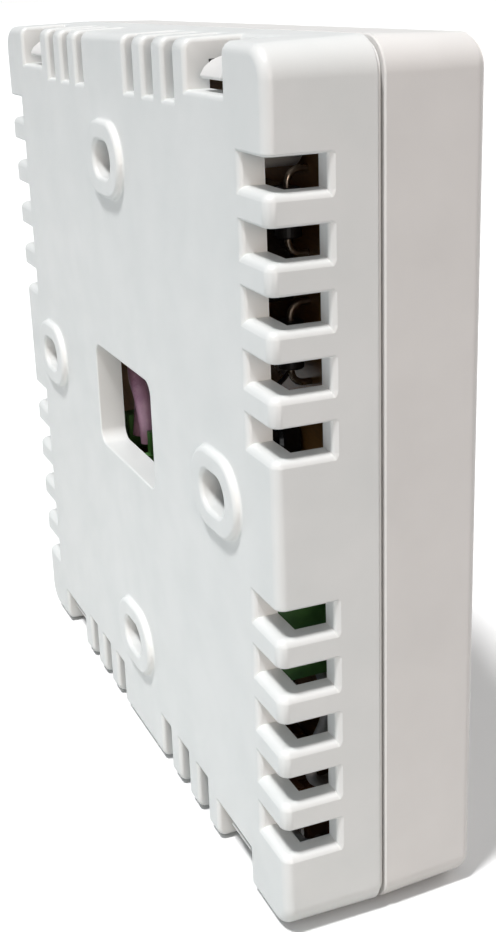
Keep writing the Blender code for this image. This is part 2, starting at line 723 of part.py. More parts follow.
def make_leads():
    """Insulated leads from the last pole to the upper arm, and the strip's link to the lower arm."""
    mauve = plastic("lead_insulation", "B98FA5", 0.35)
    entry = pole_places()[-1]
    pad = BOARD_BACK - GAP - 0.5
    tube("lead_wire_1", [(entry - 1.6, LEAD_ENTRY, -7.9), (entry - 1.4, 6.1, -5.2),
                         (entry - 0.9, 5.9, -2.4), (entry + 2.2, 6.2, 0.6), (entry + 5.6, 7.8, 4.6),
                         (entry + 6.6, 9.6, 10.6), (entry + 6.6, pad, 11.6)], LEAD_RADIUS, mauve)
    tube("lead_wire_2", [(entry + 1.6, LEAD_ENTRY, -7.9), (entry + 1.8, 6.6, -5.0),
                         (entry + 3.6, 7.4, -1.4), (entry + 7.4, 8.2, 3.0),
                         (entry + 10.2, 9.6, 10.6), (entry + 10.2, pad, 11.6)], LEAD_RADIUS, mauve)
    grey = plastic("link_insulation", "A9A6A6", 0.4)
    tube("link_wire", [(-34.8, 8.6, STRIP_BOTTOM - 2 * GAP), (-36.5, 8.4, -21.0), (-38.1, 7.7, -23.0),
                       (-38.6, 6.0, -26.2), (-38.2, 5.7, -29.4), (-36.9, 7.6, -31.7),
                       (-35.0, pad, -32.3)], 0.6, grey)


# ------------------------------------------------------ dial and its drive

def make_potentiometer():
    blue = plastic("potentiometer_case", "2E3B4A", 0.45)
    half = POTENTIOMETER_HALF
    middle = (BOARD_FRONT + GAP + POTENTIOMETER_FRONT) / 2
    body = make_object("potentiometer_body",
                       block((-half, BOARD_FRONT + GAP, DIAL_Z - half),
                             (half, POTENTIOMETER_FRONT, DIAL_Z + half)),
                       blue, (0, depth_to_y(middle), DIAL_Z))
    bore = ROTOR_RADIUS + GAP
    floor = ROTOR_BACK - GAP
    combine(body, "rotor_bore", turned([(0, floor), (bore, floor), (bore, ROTOR_FRONT + 1),
                                        (0, ROTOR_FRONT + 1)], 0, DIAL_Z, 32), "DIFFERENCE")
    pivot = joint_frame("potentiometer_axis", (0, ROTOR_BACK, DIAL_Z))
    white = plastic("rotor_plastic", "C9CBC8", 0.45)
    rotor = make_object("potentiometer_rotor",
                        turned([(0, ROTOR_BACK), (ROTOR_RADIUS, ROTOR_BACK),
                                (ROTOR_RADIUS, ROTOR_FRONT), (0, ROTOR_FRONT)], 0, DIAL_Z, 32),
                        white, (0, depth_to_y(ROTOR_BACK), DIAL_Z))
    socket = SPINDLE_HALF + GAP
    combine(rotor, "rotor_socket",
            block((-socket, SPINDLE_END - GAP, DIAL_Z - socket),
                  (socket, ROTOR_FRONT + 1, DIAL_Z + socket)), "DIFFERENCE")
    parent_to(rotor, pivot)


def ribbed_outline(radius, depth, count, steps=4):
    """A circle with shallow grip flutes."""
    points = []
    total = count * steps
    for i in range(total):
        angle = math.tau * i / total
        wave = 0.5 - 0.5 * math.cos(math.tau * i / steps)
        reach = radius - depth * wave
        points.append((reach * math.cos(angle), reach * math.sin(angle)))
    return points


def make_dial():
    """The knob, turning in the cover, with its hub, square spindle and retainer."""
    axis = joint_frame("dial_axis", (0, DIAL_BACK, DIAL_Z))
    white = plastic("dial_plastic", "E6E4E1", 0.38)
    skirt = moved(ribbed_outline(DIAL_RADIUS, 0.35, 60), 0, DIAL_Z)
    face = moved(ribbed_outline(DIAL_RADIUS - DIAL_CHAMFER, 0.25, 60), 0, DIAL_Z)
    dial = make_object("setting_dial", loft([(DIAL_BACK, skirt), (DIAL_FRONT - 1.2, skirt),
                                             (DIAL_FRONT, face)]),
                       white, (0, depth_to_y(DIAL_BACK), DIAL_Z))
    neck = HUB_RADIUS + 1.5
    roof = DIAL_FRONT - 2.2
    combine(dial, "dial_hollow", turned([(neck, DIAL_BACK - 1), (DIAL_HOLLOW, DIAL_BACK - 1),
                                         (DIAL_HOLLOW, roof), (neck, roof)], 0, DIAL_Z), "DIFFERENCE")
    combine(dial, "dial_hub", turned([(0, HUB_END), (HUB_RADIUS, HUB_END), (HUB_RADIUS, GROOVE_BACK),
                                      (GROOVE_RADIUS, GROOVE_BACK), (GROOVE_RADIUS, GROOVE_FRONT),
                                      (HUB_RADIUS, GROOVE_FRONT), (HUB_RADIUS, DIAL_BACK + 1),
                                      (0, DIAL_BACK + 1)], 0, DIAL_Z), "UNION")
    combine(dial, "dial_spindle",
            block((-SPINDLE_HALF, SPINDLE_END, DIAL_Z - SPINDLE_HALF),
                  (SPINDLE_HALF, HUB_END + 0.1, DIAL_Z + SPINDLE_HALF)), "UNION")
    stop = block((-STOP_HALF, SHELL_DEPTH + RING_THICK + 2 * GAP, DIAL_Z - 14.6),
                 (STOP_HALF, DIAL_FRONT - 2.0, DIAL_Z - 7.2))
    combine(dial, "dial_stop", stop, "UNION")
    pointer_low = DIAL_Z + 9.0
    pointer_high = DIAL_Z + 17.5
    combine(dial, "pointer_slot", block((-0.7, DIAL_FRONT - 0.8, pointer_low),
                                        (0.7, DIAL_FRONT + 1, pointer_high)), "DIFFERENCE")
    parent_to(dial, axis)

    grey = plastic("pointer_plastic", "6A6E72", 0.4)
    pointer = make_object("dial_pointer",
                          block((-0.5, DIAL_FRONT - 0.6, pointer_low + 0.2),
                                (0.5, DIAL_FRONT + 0.1, pointer_high - 0.2)),
                          grey, (0, depth_to_y(DIAL_FRONT), (pointer_low + pointer_high) / 2))
    parent_to(pointer, axis)

    spring = plastic("retainer_steel", "A9ABAC", 0.3, 1.0)
    inner = GROOVE_RADIUS + GAP
    back = GROOVE_BACK + 0.2
    front = GROOVE_FRONT - 0.2
    retainer = make_object("dial_retainer",
                           turned([(inner, back), (RETAINER_RADIUS, back), (RETAINER_RADIUS, front),
                                   (inner, front)], 0, DIAL_Z), spring,
                           (0, depth_to_y((back + front) / 2), DIAL_Z))
    combine(retainer, "retainer_mouth",
            block((-3.9, back - 0.3, DIAL_Z - RETAINER_RADIUS - 2), (3.9, front + 0.3, DIAL_Z)),
            "DIFFERENCE")
    parent_to(retainer, axis)


def limit_finger(inner, outer, angle, front):
    """The upright finger of a limit ring, `angle` degrees clockwise from the bottom."""
    finger = block((-STOP_HALF, front - 0.3, DIAL_Z - outer + 0.5),
                   (STOP_HALF, front + 1.3, DIAL_Z - inner - 0.5))
    centre = Vector((0, 0, DIAL_Z))
    turn = Matrix.Translation(centre) @ Matrix.Rotation(math.radians(angle), 4, "Y") \
        @ Matrix.Translation(-centre)
    bmesh.ops.transform(finger, matrix=turn, verts=finger.verts)
    return finger


def make_limit_rings():
    """Two rings under the dial whose fingers limit the setting range."""
    back = SHELL_DEPTH + GAP
    front = back + RING_THICK
    rings = (("minimum_limit_ring", 7.2, 10.6, -LIMIT_REST, "3B6EA8"),
             ("maximum_limit_ring", 11.2, 14.6, LIMIT_REST, "B2402F"))
    for name, inner, outer, angle, colour in rings:
        axis = joint_frame(name + "_axis", (0, back, DIAL_Z))
        ring = make_object(name, turned([(inner, back), (outer, back), (outer, front), (inner, front)],
                                        0, DIAL_Z), plastic(name + "_plastic", colour, 0.4),
                           (0, depth_to_y(back), DIAL_Z))
        combine(ring, name + "_finger", limit_finger(inner, outer, angle, front), "UNION")
        parent_to(ring, axis)


# ------------------------------------------------------- switch and lamp

def make_switch():
    black = plastic("switch_case", "232425", 0.45)
    low = (ROCKER_X - 5.6, BOARD_FRONT + GAP, ROCKER_Z - 6.0)
    high = (ROCKER_X + 5.6, ROCKER_PIVOT + 1.0, ROCKER_Z + 6.0)
    body = make_object("switch_body", block(low, high), black,
                       (ROCKER_X, depth_to_y((low[1] + high[1]) / 2), ROCKER_Z))
    half = ROCKER_HALF + GAP
    combine(body, "switch_well",
            block((ROCKER_X - half, ROCKER_PIVOT - 1.5, ROCKER_Z - 5.3),
                  (ROCKER_X + half, ROCKER_PIVOT + 3, ROCKER_Z + 5.3)), "DIFFERENCE")
    pivot_place = (ROCKER_X, ROCKER_PIVOT, ROCKER_Z)
    combine(body, "switch_pin_bores",
            cylinder_along("x", pivot_place, PIN_RADIUS + GAP, 2 * (PIN_HALF + GAP), 20), "DIFFERENCE")

    pivot = joint_frame("switch_axis", pivot_place)
    white = plastic("rocker_plastic", "D7D6D2", 0.35)
    side = [(3.2, -0.9), (4.4, 1.5), (ROCKER_TALL - 0.6, 2.5), (ROCKER_TALL - 0.3, 5.2)]
    profile = side + [(0.0, 4.3)] + [(-z, reach) for z, reach in reversed(side)]
    shape = bmesh.new()
    ends = []
    for x in (ROCKER_X - ROCKER_HALF, ROCKER_X + ROCKER_HALF):
        ends.append([shape.verts.new((x, depth_to_y(ROCKER_PIVOT + reach), ROCKER_Z + z))
                     for z, reach in profile])
    first, second = ends
    for i in range(len(profile)):
        j = (i + 1) % len(profile)
        shape.faces.new((first[i], first[j], second[j], second[i]))
    shape.faces.new(first)
    shape.faces.new(list(reversed(second)))
    rocker = make_object("switch_rocker", shape, white,
                         (ROCKER_X, depth_to_y(ROCKER_PIVOT), ROCKER_Z))
    combine(rocker, "rocker_pins",
            cylinder_along("x", pivot_place, PIN_RADIUS, 2 * PIN_HALF, 20), "UNION")
    parent_to(rocker, pivot)
    rocker.rotation_euler.x = math.radians(ROCKER_TILT)


def make_lamp():
    red = plastic("lamp_epoxy", "C94A3A", 0.15)
    seat = BOARD_FRONT + GAP
    tip = COVER_INNER - 1.1
    lamp = [(0, seat), (LAMP_RADIUS + 0.4, seat), (LAMP_RADIUS + 0.4, seat + 0.8),
            (LAMP_RADIUS, seat + 0.8), (LAMP_RADIUS, tip - 0.9), (1.1, tip - 0.3), (0, tip)]
    make_object("status_lamp", turned(lamp, LAMP_X, LAMP_Z, 24), red,
                (LAMP_X, depth_to_y(seat), LAMP_Z))
    clear = plastic("light_guide_acrylic", "E8EAE6", 0.08)
    foot = COVER_INNER - 0.7
    face = SHELL_DEPTH + 0.6
    guide = [(0, foot), (LAMP_RADIUS + 0.9, foot), (LAMP_RADIUS + 0.9, foot + 0.4),
             (LAMP_RADIUS, foot + 0.4), (LAMP_RADIUS, face - 0.4), (1.1, face - 0.1), (0, face)]
    make_object("light_guide", turned(guide, LAMP_X, LAMP_Z, 24), clear,
                (LAMP_X, depth_to_y(foot), LAMP_Z))


def main():
    clear_scene()
    make_rear_base()
    make_front_cover()
    make_board()
    make_board_screws()
    make_terminal_strip()
    make_terminal_clamps()
    make_relay()
    make_capacitors()
    make_varistor()
    make_chip()
    make_diodes()
    make_resistors()
    make_sensor()
    make_leads()
    make_potentiometer()
    make_dial()
    make_limit_rings()
    make_switch()
    make_lamp()


main()
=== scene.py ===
import math

import bmesh
import bpy
from mathutils import Matrix, Vector


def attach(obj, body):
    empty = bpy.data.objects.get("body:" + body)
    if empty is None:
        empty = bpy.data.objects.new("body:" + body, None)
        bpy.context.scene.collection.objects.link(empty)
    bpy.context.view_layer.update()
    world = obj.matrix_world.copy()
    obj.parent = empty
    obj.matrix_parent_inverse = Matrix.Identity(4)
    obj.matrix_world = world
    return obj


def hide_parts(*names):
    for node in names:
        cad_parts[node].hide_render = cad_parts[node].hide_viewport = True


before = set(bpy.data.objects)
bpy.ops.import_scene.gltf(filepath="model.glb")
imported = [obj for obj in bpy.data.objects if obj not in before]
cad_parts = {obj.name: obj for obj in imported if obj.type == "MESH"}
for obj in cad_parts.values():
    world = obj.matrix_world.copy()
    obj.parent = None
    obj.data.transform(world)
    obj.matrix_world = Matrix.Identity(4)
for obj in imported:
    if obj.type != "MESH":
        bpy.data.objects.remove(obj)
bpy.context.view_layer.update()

# Sizes are millimetres. Depth runs from the base plate's rear face towards the room.
MM = 0.001
GAP = 0.3
HALF = 44.0
DRAFT = 0.25
CORNER = 3.3
EDGE = 1.1
BOSS_HEIGHT = 0.8
PARTING = 11.0
PARTING_GAP = 0.54
SHELL_DEPTH = 21.8
PLATE = 2.65
WALL = 2.0
FRONT_PLATE = 2.0
COVER_INNER = SHELL_DEPTH - FRONT_PLATE
LIP = 0.9
LIP_LENGTH = 1.4
STEP = 0.5             # depth of the groove between the shells, down to the base's edge
ARRIS = 0.15           # the small rounding that a mould leaves on a plain edge

VENT_PITCH = 6.0
VENT_HALF = 1.525
VENT_LENGTH = 5.9
VENT_DEPTH = 5.95
NOTCH_MIDDLE = 30.25
NOTCH_HALF = 4.65
NOTCH_LENGTH = 4.7
SILL_RADIUS = 0.85     # rounding along the sill of each side vent
HEAD_RADIUS = 0.35     # rounding along its head
END_RADIUS = 0.6       # rounding where a vent ends in the plate or the wall

FIXING_RADIUS = 30.0
BOSS_HALF_X = 5.95
BOSS_HALF_Z = 4.35
BOSS_RIM = 0.55
SLOT_HALF_X = 3.1
SLOT_HALF_Z = 2.05
SLOT_FLARE = 0.5
OPENING_HALF = 10.2
OPENING_TOP = 6.1
OPENING_BOTTOM = -6.9
OPENING_CORNER = 1.6
OPENING_FLARE = 0.2

HOOK_PLACES = ((-1, -1), (-1, 1), (1, -1), (1, 1))     # signs of z and x
HOOK_X = 30.6
HOOK_HALF = 2.6
HOOK_OUTER = 41.5
HOOK_THICK = 1.3
HOOK_TIP = 0.7
HOOK_CATCH = 5.6
HOOK_PEAK = 43.0

BOARD_BACK = 12.2
BOARD_FRONT = 13.8
POSTS = ((33.0, 33.0), (-24.0, 34.0), (-13.5, -34.0), (33.0, -33.0))
DIODE_X = -26.6
DIODE_DEPTH = BOARD_BACK - 2.2
DIODES_Z = (26.7, 13.2)
CHIP_X = -14.0
LEAD_RADIUS = 1.2
LEAD_ENTRY = 6.2       # depth at which the leads leave the strip
LINK_RADIUS = 0.6
WIRE_END = BOARD_BACK - GAP - 0.5

STRIP_LEFT = -36.5
STRIP_RIGHT = 25.5
STRIP_TOP = -8.6
STRIP_BOTTOM = -19.2
STRIP_Z = (STRIP_TOP + STRIP_BOTTOM) / 2
POLE_PITCH = 8.2
POLES = 5
FIRST_POLE = (STRIP_LEFT + STRIP_RIGHT) / 2 - POLE_PITCH * (POLES - 1) / 2

DIAL_Z = 15.0
DIAL_RADIUS = 21.0
DIAL_BACK = SHELL_DEPTH + 0.4
DIAL_FRONT = SHELL_DEPTH + 5.8
DIAL_TRAVEL = 135.0
DIAL_BORE = 5.3
NUMBER_REACH = 26.9
POINTER = (0.0, DIAL_Z + 13.25)

ROCKER = (22.0, -30.0)
ROCKER_PIVOT = 18.0
ROCKER_TILT = 5.0
LAMP = (-22.0, -30.0)
LAMP_BORE = 1.8
MOUTH_FLARE = 0.3      # softened mouths of the cover's openings


# --- materials

def linear(colour):
    """An sRGB hex colour as linear RGBA."""
    channels = [int(colour[i:i + 2], 16) / 255 for i in (0, 2, 4)]
    return (*[c / 12.92 if c <= 0.04045 else ((c + 0.055) / 1.055) ** 2.4 for c in channels], 1.0)


def per_mm(size):
    """Texture scale on Object coordinates for a feature this many millimetres across."""
    return 1.0 / (size * MM)


def add_node(tree, kind, settings=None, links=None):
    """Add a node. A setting names an input socket or a property; a link names an input."""
    node = tree.nodes.new(kind)
    for key, value in (settings or {}).items():
        if isinstance(key, str) and hasattr(node, key):
            setattr(node, key, value)
        else:
            node.inputs[key].default_value = value
    for key, socket in (links or {}).items():
        tree.links.new(socket, node.inputs[key])
    return node


def start_material(name, roughness, metallic=0.0):
    material = bpy.data.materials.new(name)
    material.use_nodes = True
    tree = material.node_tree
    shader = tree.nodes["Principled BSDF"]
    shader.inputs["Roughness"].default_value = roughness
    shader.inputs["Metallic"].default_value = metallic
    return material, tree, shader, add_node(tree, "ShaderNodeTexCoord").outputs["Object"]


def noise(tree, spot, size, **settings):
    """Noise with features this many millimetres across."""
    return add_node(tree, "ShaderNodeTexNoise", {"Scale": per_mm(size), **settings},
                    {"Vector": spot}).outputs["Fac"]


def stretched(tree, spot, share):
    """Coordinates that draw a texture out along X."""
    return add_node(tree, "ShaderNodeMapping", {"Scale": (share, 1.0, 1.0)},
                    {"Vector": spot}).outputs["Vector"]


def spread(tree, value, settings):
    """A value mapped from sockets 1 to 2 onto 3 to 4."""
    return add_node(tree, "ShaderNodeMapRange", settings, {0: value}).outputs[0]


def blend(tree, colour, shade, share):
    """A mix of two hex colours."""
    return add_node(tree, "ShaderNodeMix", {"data_type": "RGBA", 6: linear(colour), 7: linear(shade)},
                    {0: share}).outputs[2]


def raised(tree, height, strength, distance, under=None):
    """A bumped normal, over another one if given. Distance is millimetres."""
    links = {"Height": height} if under is None else {"Height": height, "Normal": under}
    return add_node(tree, "ShaderNodeBump", {"Strength": strength, "Distance": distance * MM},
                    links).outputs["Normal"]


def dress(tree, shader, **sockets):
    """Link sockets to the shader's inputs of these names."""
    for name, socket in sockets.items():
        tree.links.new(socket, shader.inputs[name.replace("_", " ")])


def moulded(name, colour, shade, roughness, grain=0.35, relief=0.1, cloud=11.0):
    """Injection-moulded plastic: a fine spark-eroded grain, faint flow clouds in the colour."""
    material, tree, shader, spot = start_material(name, roughness)
    shader.inputs["IOR"].default_value = 1.53
    clouds = noise(tree, spot, cloud, Detail=3.0, Roughness=0.55)
    patches = noise(tree, spot, 2.6, Detail=4.0)
    pits = noise(tree, spot, grain, Detail=2.0, Roughness=0.6)
    ripple = noise(tree, spot, 7.0, Detail=1.0)
    dress(tree, shader,
          Base_Color=blend(tree, colour, shade, spread(tree, clouds, {1: 0.34, 2: 0.68})),
          Roughness=spread(tree, patches, {1: 0.3, 2: 0.7, 3: roughness - 0.05, 4: roughness + 0.06}),
          Normal=raised(tree, pits, relief, 0.06, raised(tree, ripple, 0.05, 0.25)))
    return material


def plated(name, colour, shade, roughness, line=0.25):
    """Plated or drawn metal: fine lines along the draw and duller patches."""
    material, tree, shader, spot = start_material(name, roughness, 1.0)
    lines = noise(tree, stretched(tree, spot, 0.15), line, Detail=3.0)
    dull = noise(tree, spot, 1.4, Detail=4.0)
    gloss = {1: 0.3, 2: 0.7, 3: max(roughness - 0.1, 0.08), 4: roughness + 0.12}
    dress(tree, shader, Base_Color=blend(tree, colour, shade, dull), Roughness=spread(tree, dull, gloss),
          Normal=raised(tree, lines, 0.2, 0.02))
    return material


def laminate(name, colour, shade):
    """Phenolic paper laminate: short paper fibres showing through brown resin."""
    material, tree, shader, spot = start_material(name, 0.42)
    shader.inputs["IOR"].default_value = 1.6
    paper = noise(tree, stretched(tree, spot, 0.3), 0.5, Detail=5.0, Roughness=0.65, Distortion=0.6)
    dress(tree, shader, Base_Color=blend(tree, colour, shade, spread(tree, paper, {1: 0.3, 2: 0.7})),
          Normal=raised(tree, paper, 0.25, 0.04))
    return material


def clear_acrylic(name, colour, roughness, clearness):
    """Cast acrylic or tinted epoxy: clear, with faint ripples in the surface."""
    material, tree, shader, spot = start_material(name, roughness)
    shader.inputs["IOR"].default_value = 1.49
    shader.inputs["Transmission Weight"].default_value = clearness
    ripple = noise(tree, spot, 1.6, Detail=2.0)
    dress(tree, shader, Base_Color=blend(tree, colour, "FFFFFF", spread(tree, ripple, {3: 0.0, 4: 0.12})),
          Normal=raised(tree, ripple, 0.1, 0.05))
    return material


# White ABS, moulded in a lightly spark-eroded tool: satin, a fine even grain.
base_abs = moulded("base_white_abs", "E5E6E5", "DFE1E0", 0.42)
cover_abs = moulded("cover_white_abs", "E6E4E2", "E1DFDD", 0.42)
dial_abs = moulded("dial_white_abs", "E6E5E2", "DEDDDA", 0.36)
rocker_abs = moulded("rocker_white_abs", "DCDAD6", "D2D0CC", 0.3, relief=0.04)
pointer_abs = moulded("pointer_grey_abs", "6A6E72", "5C6064", 0.4)
low_ring_abs = moulded("low_limit_blue_abs", "3B6EA8", "32609A", 0.4)
high_ring_abs = moulded("high_limit_red_abs", "B2402F", "A33626", 0.4)
# Green polyamide of the terminal block: waxy, slightly cloudy.
terminal_polyamide = moulded("terminal_green_polyamide", "4C7A3C", "3A6232", 0.38, relief=0.2, cloud=3.0)
# Black thermoset cases: glossy on the relay, duller on the chip and the switch.
relay_case = moulded("relay_black_case", "15120F", "1D1814", 0.22, relief=0.05, cloud=5.0)
switch_case = moulded("switch_black_case", "232425", "1B1C1D", 0.45, cloud=4.0)
chip_epoxy = moulded("chip_black_epoxy", "1A1A1B", "232324", 0.5, grain=0.2, relief=0.3, cloud=2.0)
diode_epoxy = moulded("diode_black_epoxy", "1D1D1E", "262627", 0.4, grain=0.2, relief=0.2, cloud=1.5)
sensor_epoxy = moulded("sensor_black_epoxy", "20211F", "171816", 0.3, cloud=1.5)
case_blue = moulded("potentiometer_blue_case", "2E3B4A", "26323F", 0.45, cloud=3.0)
rotor_acetal = moulded("rotor_white_acetal", "C9CBC8", "BFC1BE", 0.4, cloud=2.0)
# Dipped coats: thick glossy resin with slow waves in the surface.
film_dip = moulded("film_capacitor_brown_dip", "6A4630", "583826", 0.26, grain=1.2, relief=0.5, cloud=4.0)
varistor_dip = moulded("varistor_blue_dip", "2B4C7A", "223F68", 0.28, grain=1.2, relief=0.5, cloud=3.0)
resistor_coat = moulded("resistor_beige_coat", "B08A63", "9E7A56", 0.35, grain=0.5, relief=0.3, cloud=1.2)
can_sleeve = moulded("capacitor_black_sleeve", "14151A", "1C1D23", 0.24, grain=0.8, relief=0.2, cloud=3.0)
# PVC insulation: soft gloss, faint streaks along the wire.
mauve_pvc = moulded("lead_mauve_pvc", "B98FA5", "A97F97", 0.3, grain=0.6, relief=0.2, cloud=1.6)
grey_pvc = moulded("link_grey_pvc", "A9A6A6", "98969A", 0.35, grain=0.5, relief=0.2, cloud=1.4)
# Pad-printed ink: matt, a little thin at its edges.
print_silver = moulded("band_silver_print", "B4B6B8", "A2A4A6", 0.4, grain=0.15, relief=0.1, cloud=0.8)
print_grey = moulded("scale_grey_print", "5A5E62", "6B6F73", 0.55, grain=0.15, relief=0.1, cloud=0.8)
zinc_plate = plated("zinc_plated_steel", "C2C4C5", "A4A6A8", 0.3)
nickel_brass = plated("clamp_plain_brass", "C0A25C", "9C8042", 0.34)
spring_steel = plated("retainer_spring_steel", "A9ABAC", "8C8E90", 0.3)
tin_solder = plated("tin_solder", "C8C9CA", "9FA1A3", 0.26, line=0.5)
can_aluminium = plated("capacitor_aluminium", "D0D1D3", "B4B6B8", 0.25)
tinned_copper = plated("tinned_copper", "C4B6A6", "A8998A", 0.3)
track_copper = plated("lacquered_track_copper", "A86A3C", "8C5630", 0.38, line=0.4)
board_laminate = laminate("board_phenolic", "8E6436", "73502B")
guide_acrylic = clear_acrylic("light_guide_acrylic", "F2F4F2", 0.08, 0.95)
lamp_epoxy = clear_acrylic("lamp_red_epoxy", "D0402E", 0.12, 0.55)


# --- mesh helpers

def y_at(depth):
    return -(BOSS_HEIGHT + depth)


def outline(half_x, half_z, radius, centre=(0.0, 0.0), steps=10):
    """Points of a rounded rectangle in the XZ plane."""
    points = []
    for sign_x, sign_z, start in ((1, 1, 0), (-1, 1, 90), (-1, -1, 180), (1, -1, 270)):
        for step in range(steps + 1):
            angle = math.radians(start + 90 * step / steps)
            points.append((centre[0] + sign_x * (half_x - radius) + radius * math.cos(angle),
                           centre[1] + sign_z * (half_z - radius) + radius * math.sin(angle)))
    return points


def skin(rings):
    """A closed bmesh through rings of equal length, capped at both ends."""
    shape = bmesh.new()
    rows = [[shape.verts.new(point) for point in ring] for ring in rings]
    count = len(rows[0])
    for lower, upper in zip(rows, rows[1:]):
        for i in range(count):
            j = (i + 1) % count
            shape.faces.new((lower[i], lower[j], upper[j], upper[i]))
    shape.faces.new(rows[0])
    shape.faces.new(list(reversed(rows[-1])))
    bmesh.ops.recalc_face_normals(shape, faces=shape.faces)
    return shape


def loft(sections):
    return skin([[(x, y_at(depth), z) for x, z in points] for depth, points in sections])


def turned(profile, centre=(0.0, 0.0), segments=64, flute=None):
    """Revolve a closed (radius, depth) profile about Y. flute(radius, depth, angle) trims a radius."""
    shape = bmesh.new()
    rows = []
    for radius, depth in profile:
        if radius == 0:
            rows.append([shape.verts.new((centre[0], y_at(depth), centre[1]))])
            continue
        row = []
        for i in range(segments):
            angle = math.tau * i / segments
            reach = radius - (flute(radius, depth, angle) if flute else 0.0)
            row.append(shape.verts.new((centre[0] + reach * math.cos(angle), y_at(depth),
                                        centre[1] + reach * math.sin(angle))))
        rows.append(row)
    for lower, upper in zip(rows, rows[1:] + rows[:1]):
        for i in range(segments):
            j = (i + 1) % segments
            if len(lower) == 1 and len(upper) == 1:
                break
            corners = [lower[i % len(lower)], lower[j % len(lower)],
                       upper[j % len(upper)], upper[i % len(upper)]]
            corners = [v for k, v in enumerate(corners) if v not in corners[:k]]
            shape.faces.new(corners)
    bmesh.ops.recalc_face_normals(shape, faces=shape.faces)
    return shape


def prism_x(profile, low, high):
    """A (depth, z) profile extruded along X."""
    return skin([[(x, y_at(depth), z) for depth, z in profile] for x in (low, high)])


def box(low, high):
    """An axis-aligned block, low and high being (x, depth, z)."""
    return prism_x([(low[1], low[2]), (high[1], low[2]), (high[1], high[2]), (low[1], high[2])],
                   low[0], high[0])


def quarter(radius, steps=6):
    """A quarter round as (inset, drop) pairs, from the flat face to the side."""
    pairs = []
    for step in range(steps + 1):
        angle = math.radians(90 * step / steps)
        pairs.append((radius * (1 - math.sin(angle)), radius * (1 - math.cos(angle))))
    return pairs


def moved(shape, matrix):
    bmesh.ops.transform(shape, matrix=matrix, verts=shape.verts)
    return shape


def gather(shapes):
    """Put several bmeshes into one."""
    whole = bmesh.new()
    for shape in shapes:
        part = bpy.data.meshes.new("part")
        shape.to_mesh(part)
        shape.free()
        whole.from_mesh(part)
        bpy.data.meshes.remove(part)
    return whole


def to_object(name, shape, material=None, scale=MM):
    """A bmesh in millimetres as an object at the origin, in metres."""
    bmesh.ops.scale(shape, verts=shape.verts, vec=(scale, scale, scale))
    mesh = bpy.data.meshes.new(name)
    shape.to_mesh(mesh)
    shape.free()
    if material:
        mesh.materials.append(material)
    return in_scene(name, mesh)


def settle(item):
    """Apply an object's modifiers."""
    graph = bpy.context.evaluated_depsgraph_get()
    mesh = bpy.data.meshes.new_from_object(item.evaluated_get(graph))
    item.modifiers.clear()
    item.data = mesh
    return item


def in_scene(name, data):
    item = bpy.data.objects.new(name, data)
    bpy.context.scene.collection.objects.link(item)
    return item


def curve_mesh(curve):
    """The mesh of a curve or a text."""
    item = in_scene(curve.name, curve)
    graph = bpy.context.evaluated_depsgraph_get()
    mesh = bpy.data.meshes.new_from_object(item.evaluated_get(graph))
    bpy.data.objects.remove(item)
    return mesh


def boolean(item, shape, operation):
    helper = to_object("helper", shape)
    modifier = item.modifiers.new("boolean", "BOOLEAN")
    modifier.operation = operation
    modifier.object = helper
    modifier.solver = "MANIFOLD"
    settle(item)
    bpy.data.objects.remove(helper)


def add(item, shape):
    boolean(item, shape, "UNION")


def cut(item, shape):
    boolean(item, shape, "DIFFERENCE")


def round_edges(item, width, segments=3, angle=40):
    modifier = item.modifiers.new("bevel", "BEVEL")
    modifier.width = width * MM
    modifier.segments = segments
    modifier.limit_method = "ANGLE"
    modifier.angle_limit = math.radians(angle)
    return settle(item)


def place(item, body, replaced=(), sharp=35):
    """Shade a finished piece, then fix it to its CAD body."""
    item.data.shade_smooth()
    item.data.set_sharp_from_angle(angle=math.radians(sharp))
    modifier = item.modifiers.new("weighted_normal", "WEIGHTED_NORMAL")
    modifier.keep_sharp = True
    settle(item)
    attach(item, body)
    if replaced:
        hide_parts(*replaced)
    return item


# --- repeated things

def start_tree(name, **sockets):
    """A geometry-node tree with these named inputs, and the outputs of its input node."""
    tree = bpy.data.node_groups.new(name, "GeometryNodeTree")
    for socket, kind in sockets.items():
        tree.interface.new_socket(socket, in_out="INPUT", socket_type="NodeSocket" + kind)
    tree.interface.new_socket("Result", in_out="OUTPUT", socket_type="NodeSocketGeometry")
    return tree, add_node(tree, "NodeGroupInput").outputs


def end_tree(tree, finish, links):
    """Instances on points, made real and given their finish."""
    copies = add_node(tree, "GeometryNodeInstanceOnPoints", None, links)
    real = add_node(tree, "GeometryNodeRealizeInstances", None, {0: copies.outputs[0]})
    dressed = add_node(tree, "GeometryNodeSetMaterial", None,
                       {"Geometry": real.outputs[0], "Material": finish})
    add_node(tree, "NodeGroupOutput", None, {0: dressed.outputs[0]})
    return tree


def row_tree():
    """Geometry nodes: repeat a shape in a straight row."""
    tree, given = start_tree("repeat_in_a_row", Shape="Geometry", Count="Int", Step="Vector",
                             Finish="Material")
    line = add_node(tree, "GeometryNodeMeshLine", {"mode": "OFFSET"},
                    {"Count": given["Count"], "Offset": given["Step"]})
    return end_tree(tree, given["Finish"], {"Points": line.outputs["Mesh"], "Instance": given["Shape"]})


